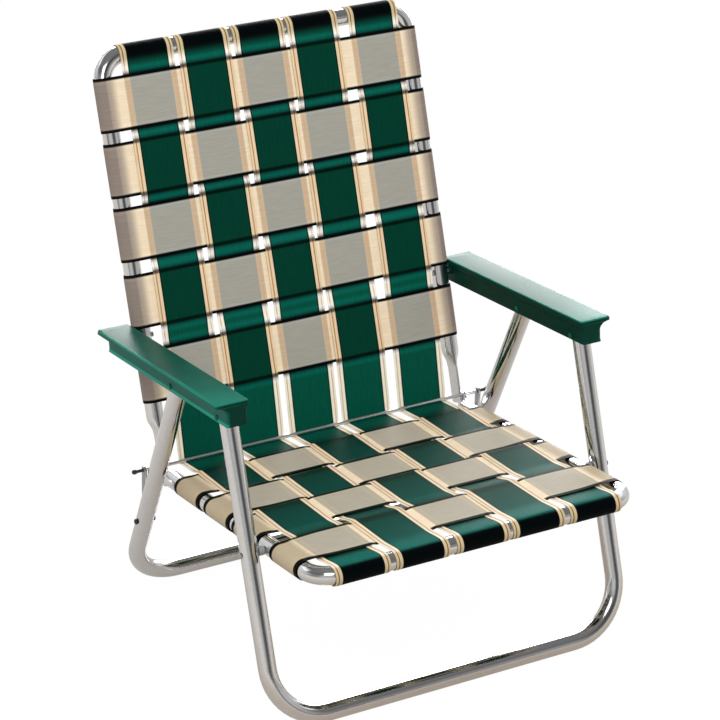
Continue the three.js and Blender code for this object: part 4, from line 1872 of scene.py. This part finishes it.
    def crease(self, column: int) -> list[Spot]:
        """A long strap's turn behind and under the hinge rod.

        Args:
            column: the strap's number from the left.

        Returns:
            The strap's spots.
        """
        centre = HINGE + ACROSS * self.long_x(column, 0.0)
        behind = -BACK_PLANE.face
        under = -SEAT_PLANE.face
        turn = behind.angle(under)
        spots = []
        for i in range(self.crease_steps + 1):
            share = i / self.crease_steps
            way = (behind * math.sin((1 - share) * turn) + under * math.sin(share * turn)) / math.sin(turn)
            spots.append(Spot(centre + way * self.plan.lift_off(ROD_R)))
        return spots


def line_normals(line: Sequence[Pair]) -> list[Pair]:
    """Unit normals on the left of a line of points.

    Args:
        line: the points.

    Returns:
        A normal for each point.
    """
    normals = []
    for i in range(len(line)):
        before = line[max(i - 1, 0)]
        after = line[min(i + 1, len(line) - 1)]
        dx = after[0] - before[0]
        dy = after[1] - before[1]
        size = math.hypot(dx, dy) or 1.0
        normals.append((-dy / size, dx / size))
    return normals


# Studio


def greys(knots: Knots) -> Stops:
    """Knots of a level as ramp stops."""
    return tuple((at, (level,) * 3) for at, level in knots)


@dataclass
class Studio:
    """White floor, soft lamps and the camera at the photograph's place."""

    image: float = 720.0
    focal: float = 2927.2
    azimuth: float = -29.05
    elevation: float = 24.51
    roll: float = 0.17
    distance: float = 4313 * MM
    target: tuple[float, float, float] = (74.2 * MM, 140.4 * MM, 317.9 * MM)
    sensor: float = 36.0
    clip: float = 100.0
    ambient: float = 1.0
    floor_size: float = 40.0
    floor_level: float = -0.4 * MM
    floor_bounce: float = 0.45
    floor_rough: float = 0.9
    floor_strength: float = 1.06
    floor_glow: Pair = (0.92, 0.45)
    floor_reach: float = 2.0
    # The floor as metal sees it: a warm-tinted painted shadow round the chair, fading with distance, and a
    # darker, warmer painted shade round a spot in front of the chair.
    floor_mirror: Knots = ((0.0, 0.60), (0.35, 0.73), (0.8, 0.94), (1.3, 1.05))
    floor_tint: Colour = (1.03, 0.955, 0.88)
    shade_spot: tuple[float, float, float] = (50 * MM, -550 * MM, 0.0)
    spot_shade: Stops = ((0.0, (0.88, 0.70, 0.54)), (0.45, (0.90, 0.79, 0.67)), (0.95, WHITE))
    heights: Knots = (
        (0.0, 0.58), (0.14, 0.86), (0.42, 0.86), (0.50, 1.45), (0.61, 1.45), (0.69, 0.55), (0.80, 0.20),
        (1.0, 0.28),
    )
    front_heights: Knots = ((0.0, 0.58), (0.14, 0.86), (0.30, 0.80), (0.45, 0.42), (0.60, 0.20), (1.0, 0.25))
    surround: Knots = (
        (0.0, 0.25), (0.05, 0.36), (0.11, 0.82), (0.20, 0.92), (0.27, 0.76), (0.345, 0.34), (0.395, 0.38),
        (0.44, 0.76), (0.52, 0.70), (0.572, 0.11), (0.632, 0.11), (0.67, 0.50), (0.72, 0.74), (0.78, 0.58),
        (0.85, 0.90), (0.95, 0.95), (1.0, 0.55),
    )
    ceiling_from: float = 0.45
    ceiling_gain: float = 4.0
    ceiling: Colour = (0.85, 0.85, 0.85)
    aim: tuple[float, float, float] = (0.0, 0.0, 0.4)

    def build(self) -> None:
        """Sets the camera, the floor, the world and the lamps."""
        bpy.context.scene.view_settings.view_transform = "Standard"
        self.camera()
        self.floor()
        self.world()
        self.lamp("key_lamp", (-1.6, -2.4, 2.6), power=22.0, size=1.6)
        self.lamp("rear_lamp", (1.37, 2.2, 0.95), power=135.0, size=2.4).visible_diffuse = False

    def camera(self) -> None:
        """Sets the camera at the photograph's angle."""
        a = math.radians(self.azimuth)
        e = math.radians(self.elevation)
        back = Vector((math.sin(a) * math.cos(e), -math.cos(a) * math.cos(e), math.sin(e)))
        data = bpy.data.cameras.new("photo_camera")
        data.sensor_width = self.sensor
        data.lens = self.focal * self.sensor / self.image
        data.clip_end = self.clip
        cam = bpy.data.objects.new("photo_camera", data)
        bpy.context.scene.collection.objects.link(cam)
        cam.location = Vector(self.target) + back * self.distance
        roll = Matrix.Rotation(math.radians(self.roll), 3, "Z")
        cam.rotation_euler = ((-back).to_track_quat("-Z", "Y").to_matrix() @ roll).to_euler()
        bpy.context.scene.camera = cam

    def floor(self) -> None:
        """Lays a floor that is white to the eye, keeps a faint shadow, and looks greyer in metal, with a
        painted shadow round the chair and a warm painted shade in front of it.
        """
        clear_selection()
        bpy.ops.mesh.primitive_plane_add(size=self.floor_size, location=(0, 0, self.floor_level))
        floor = bpy.context.active_object
        floor.name = "floor"
        material = bpy.data.materials.new("white_floor")
        material.use_nodes = True
        tree = material.node_tree
        nodes = Nodes(tree)
        grey = (self.floor_bounce,) * 3
        looks = {"Base Color": grey, "Roughness": self.floor_rough, "Specular IOR Level": 0.0}
        surface = nodes.fill(tree.nodes["Principled BSDF"], looks)
        direct, glossy = nodes.rays()
        tints = tuple((at, tuple(level * c for c in self.floor_tint)) for at, level in self.floor_mirror)
        spots = (self.shade_spot, (0.0, 0.0, 0.0))
        off, far = (nodes.vector("DISTANCE", nodes.place(), spot) for spot in spots)
        spot_shading = nodes.ramp(off, self.spot_shade, self.floor_reach)
        mirrored = nodes.mix(1.0, nodes.ramp(far, tints, self.floor_reach), spot_shading, "MULTIPLY")
        colour = nodes.mix(direct, mirrored, WHITE)
        glow = nodes.add("ShaderNodeEmission", {"Color": colour, "Strength": self.floor_strength})
        eye_share, gloss_share = self.floor_glow
        share = nodes.math("MULTIPLY_ADD", direct, eye_share, nodes.math("MULTIPLY", glossy, gloss_share))
        mix = nodes.add("ShaderNodeMixShader", {0: share, 1: surface.outputs[0], 2: glow.outputs[0]})
        nodes.fill(tree.nodes["Material Output"], {"Surface": mix.outputs[0]})
        floor.data.materials.append(material)

    def world(self) -> None:
        """White to the eye, soft light on the chair, and pale and dark screens all round in its metal."""
        world = bpy.data.worlds.new("white_surround")
        bpy.context.scene.world = world
        world.use_nodes = True
        nodes = Nodes(world.node_tree)
        way = nodes.add("ShaderNodeTexCoord", {}).outputs["Generated"]
        sin, cos = math.sin(math.radians(self.azimuth)), math.cos(math.radians(self.azimuth))
        sideways = nodes.vector("DOT_PRODUCT", way, (cos, sin, 0.0))
        towards = nodes.vector("DOT_PRODUCT", way, (sin, -cos, 0.0))
        above = nodes.math("MAXIMUM", nodes.vector("DOT_PRODUCT", way, (0.0, 0.0, 1.0)), 0.0)
        turn = nodes.math("DIVIDE", nodes.math("ARCTAN2", sideways, towards), 2 * math.pi)
        screens = nodes.ramp(nodes.math("ADD", turn, 0.5), greys(self.surround), 1.0)
        heights = (self.heights, self.front_heights)
        behind, before = (nodes.ramp(above, greys(knots), 1.0) for knots in heights)
        levels = nodes.mix(nodes.math("GREATER_THAN", towards, 0.0), behind, before)
        steep = nodes.math("MAXIMUM", nodes.math("SUBTRACT", above, self.ceiling_from), 0.0)
        share = nodes.math("MINIMUM", nodes.math("MULTIPLY", steep, self.ceiling_gain), 1.0)
        mirrored = nodes.mix(1.0, nodes.mix(share, screens, self.ceiling), levels, "MULTIPLY")
        direct, glossy = nodes.rays()
        lit = nodes.mix(glossy, (self.ambient,) * 3, mirrored)
        nodes.fill(world.node_tree.nodes["Background"], {"Color": nodes.mix(direct, lit, WHITE)})

    def lamp(self, name: str, place: Sequence[float], power: float, size: float) -> Piece:
        """Hangs one square lamp that points at the chair.

        Args:
            name: its name.
            place: where it hangs.
            power: its power in watts.
            size: the side of the square.

        Returns:
            The lamp.
        """
        data = bpy.data.lights.new(name, "AREA")
        data.energy = power
        data.size = size
        lamp = bpy.data.objects.new(name, data)
        bpy.context.scene.collection.objects.link(lamp)
        lamp.location = place
        way = Vector(self.aim) - Vector(place)
        lamp.rotation_euler = way.to_track_quat("-Z", "Y").to_euler()
        return lamp


def write_sizes() -> None:
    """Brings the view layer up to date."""
    bpy.context.view_layer.update()


def main() -> None:
    """Builds the chair's looks, piece by piece."""
    logging.basicConfig(level=logging.INFO, format="%(name)s %(message)s")
    Studio().build()
    FrameLoops().build()
    Fittings().build()
    Armrest().build()
    SeatWebbing(WeavePlan()).build()
    write_sizes()


if __name__ == "__main__":
    main()
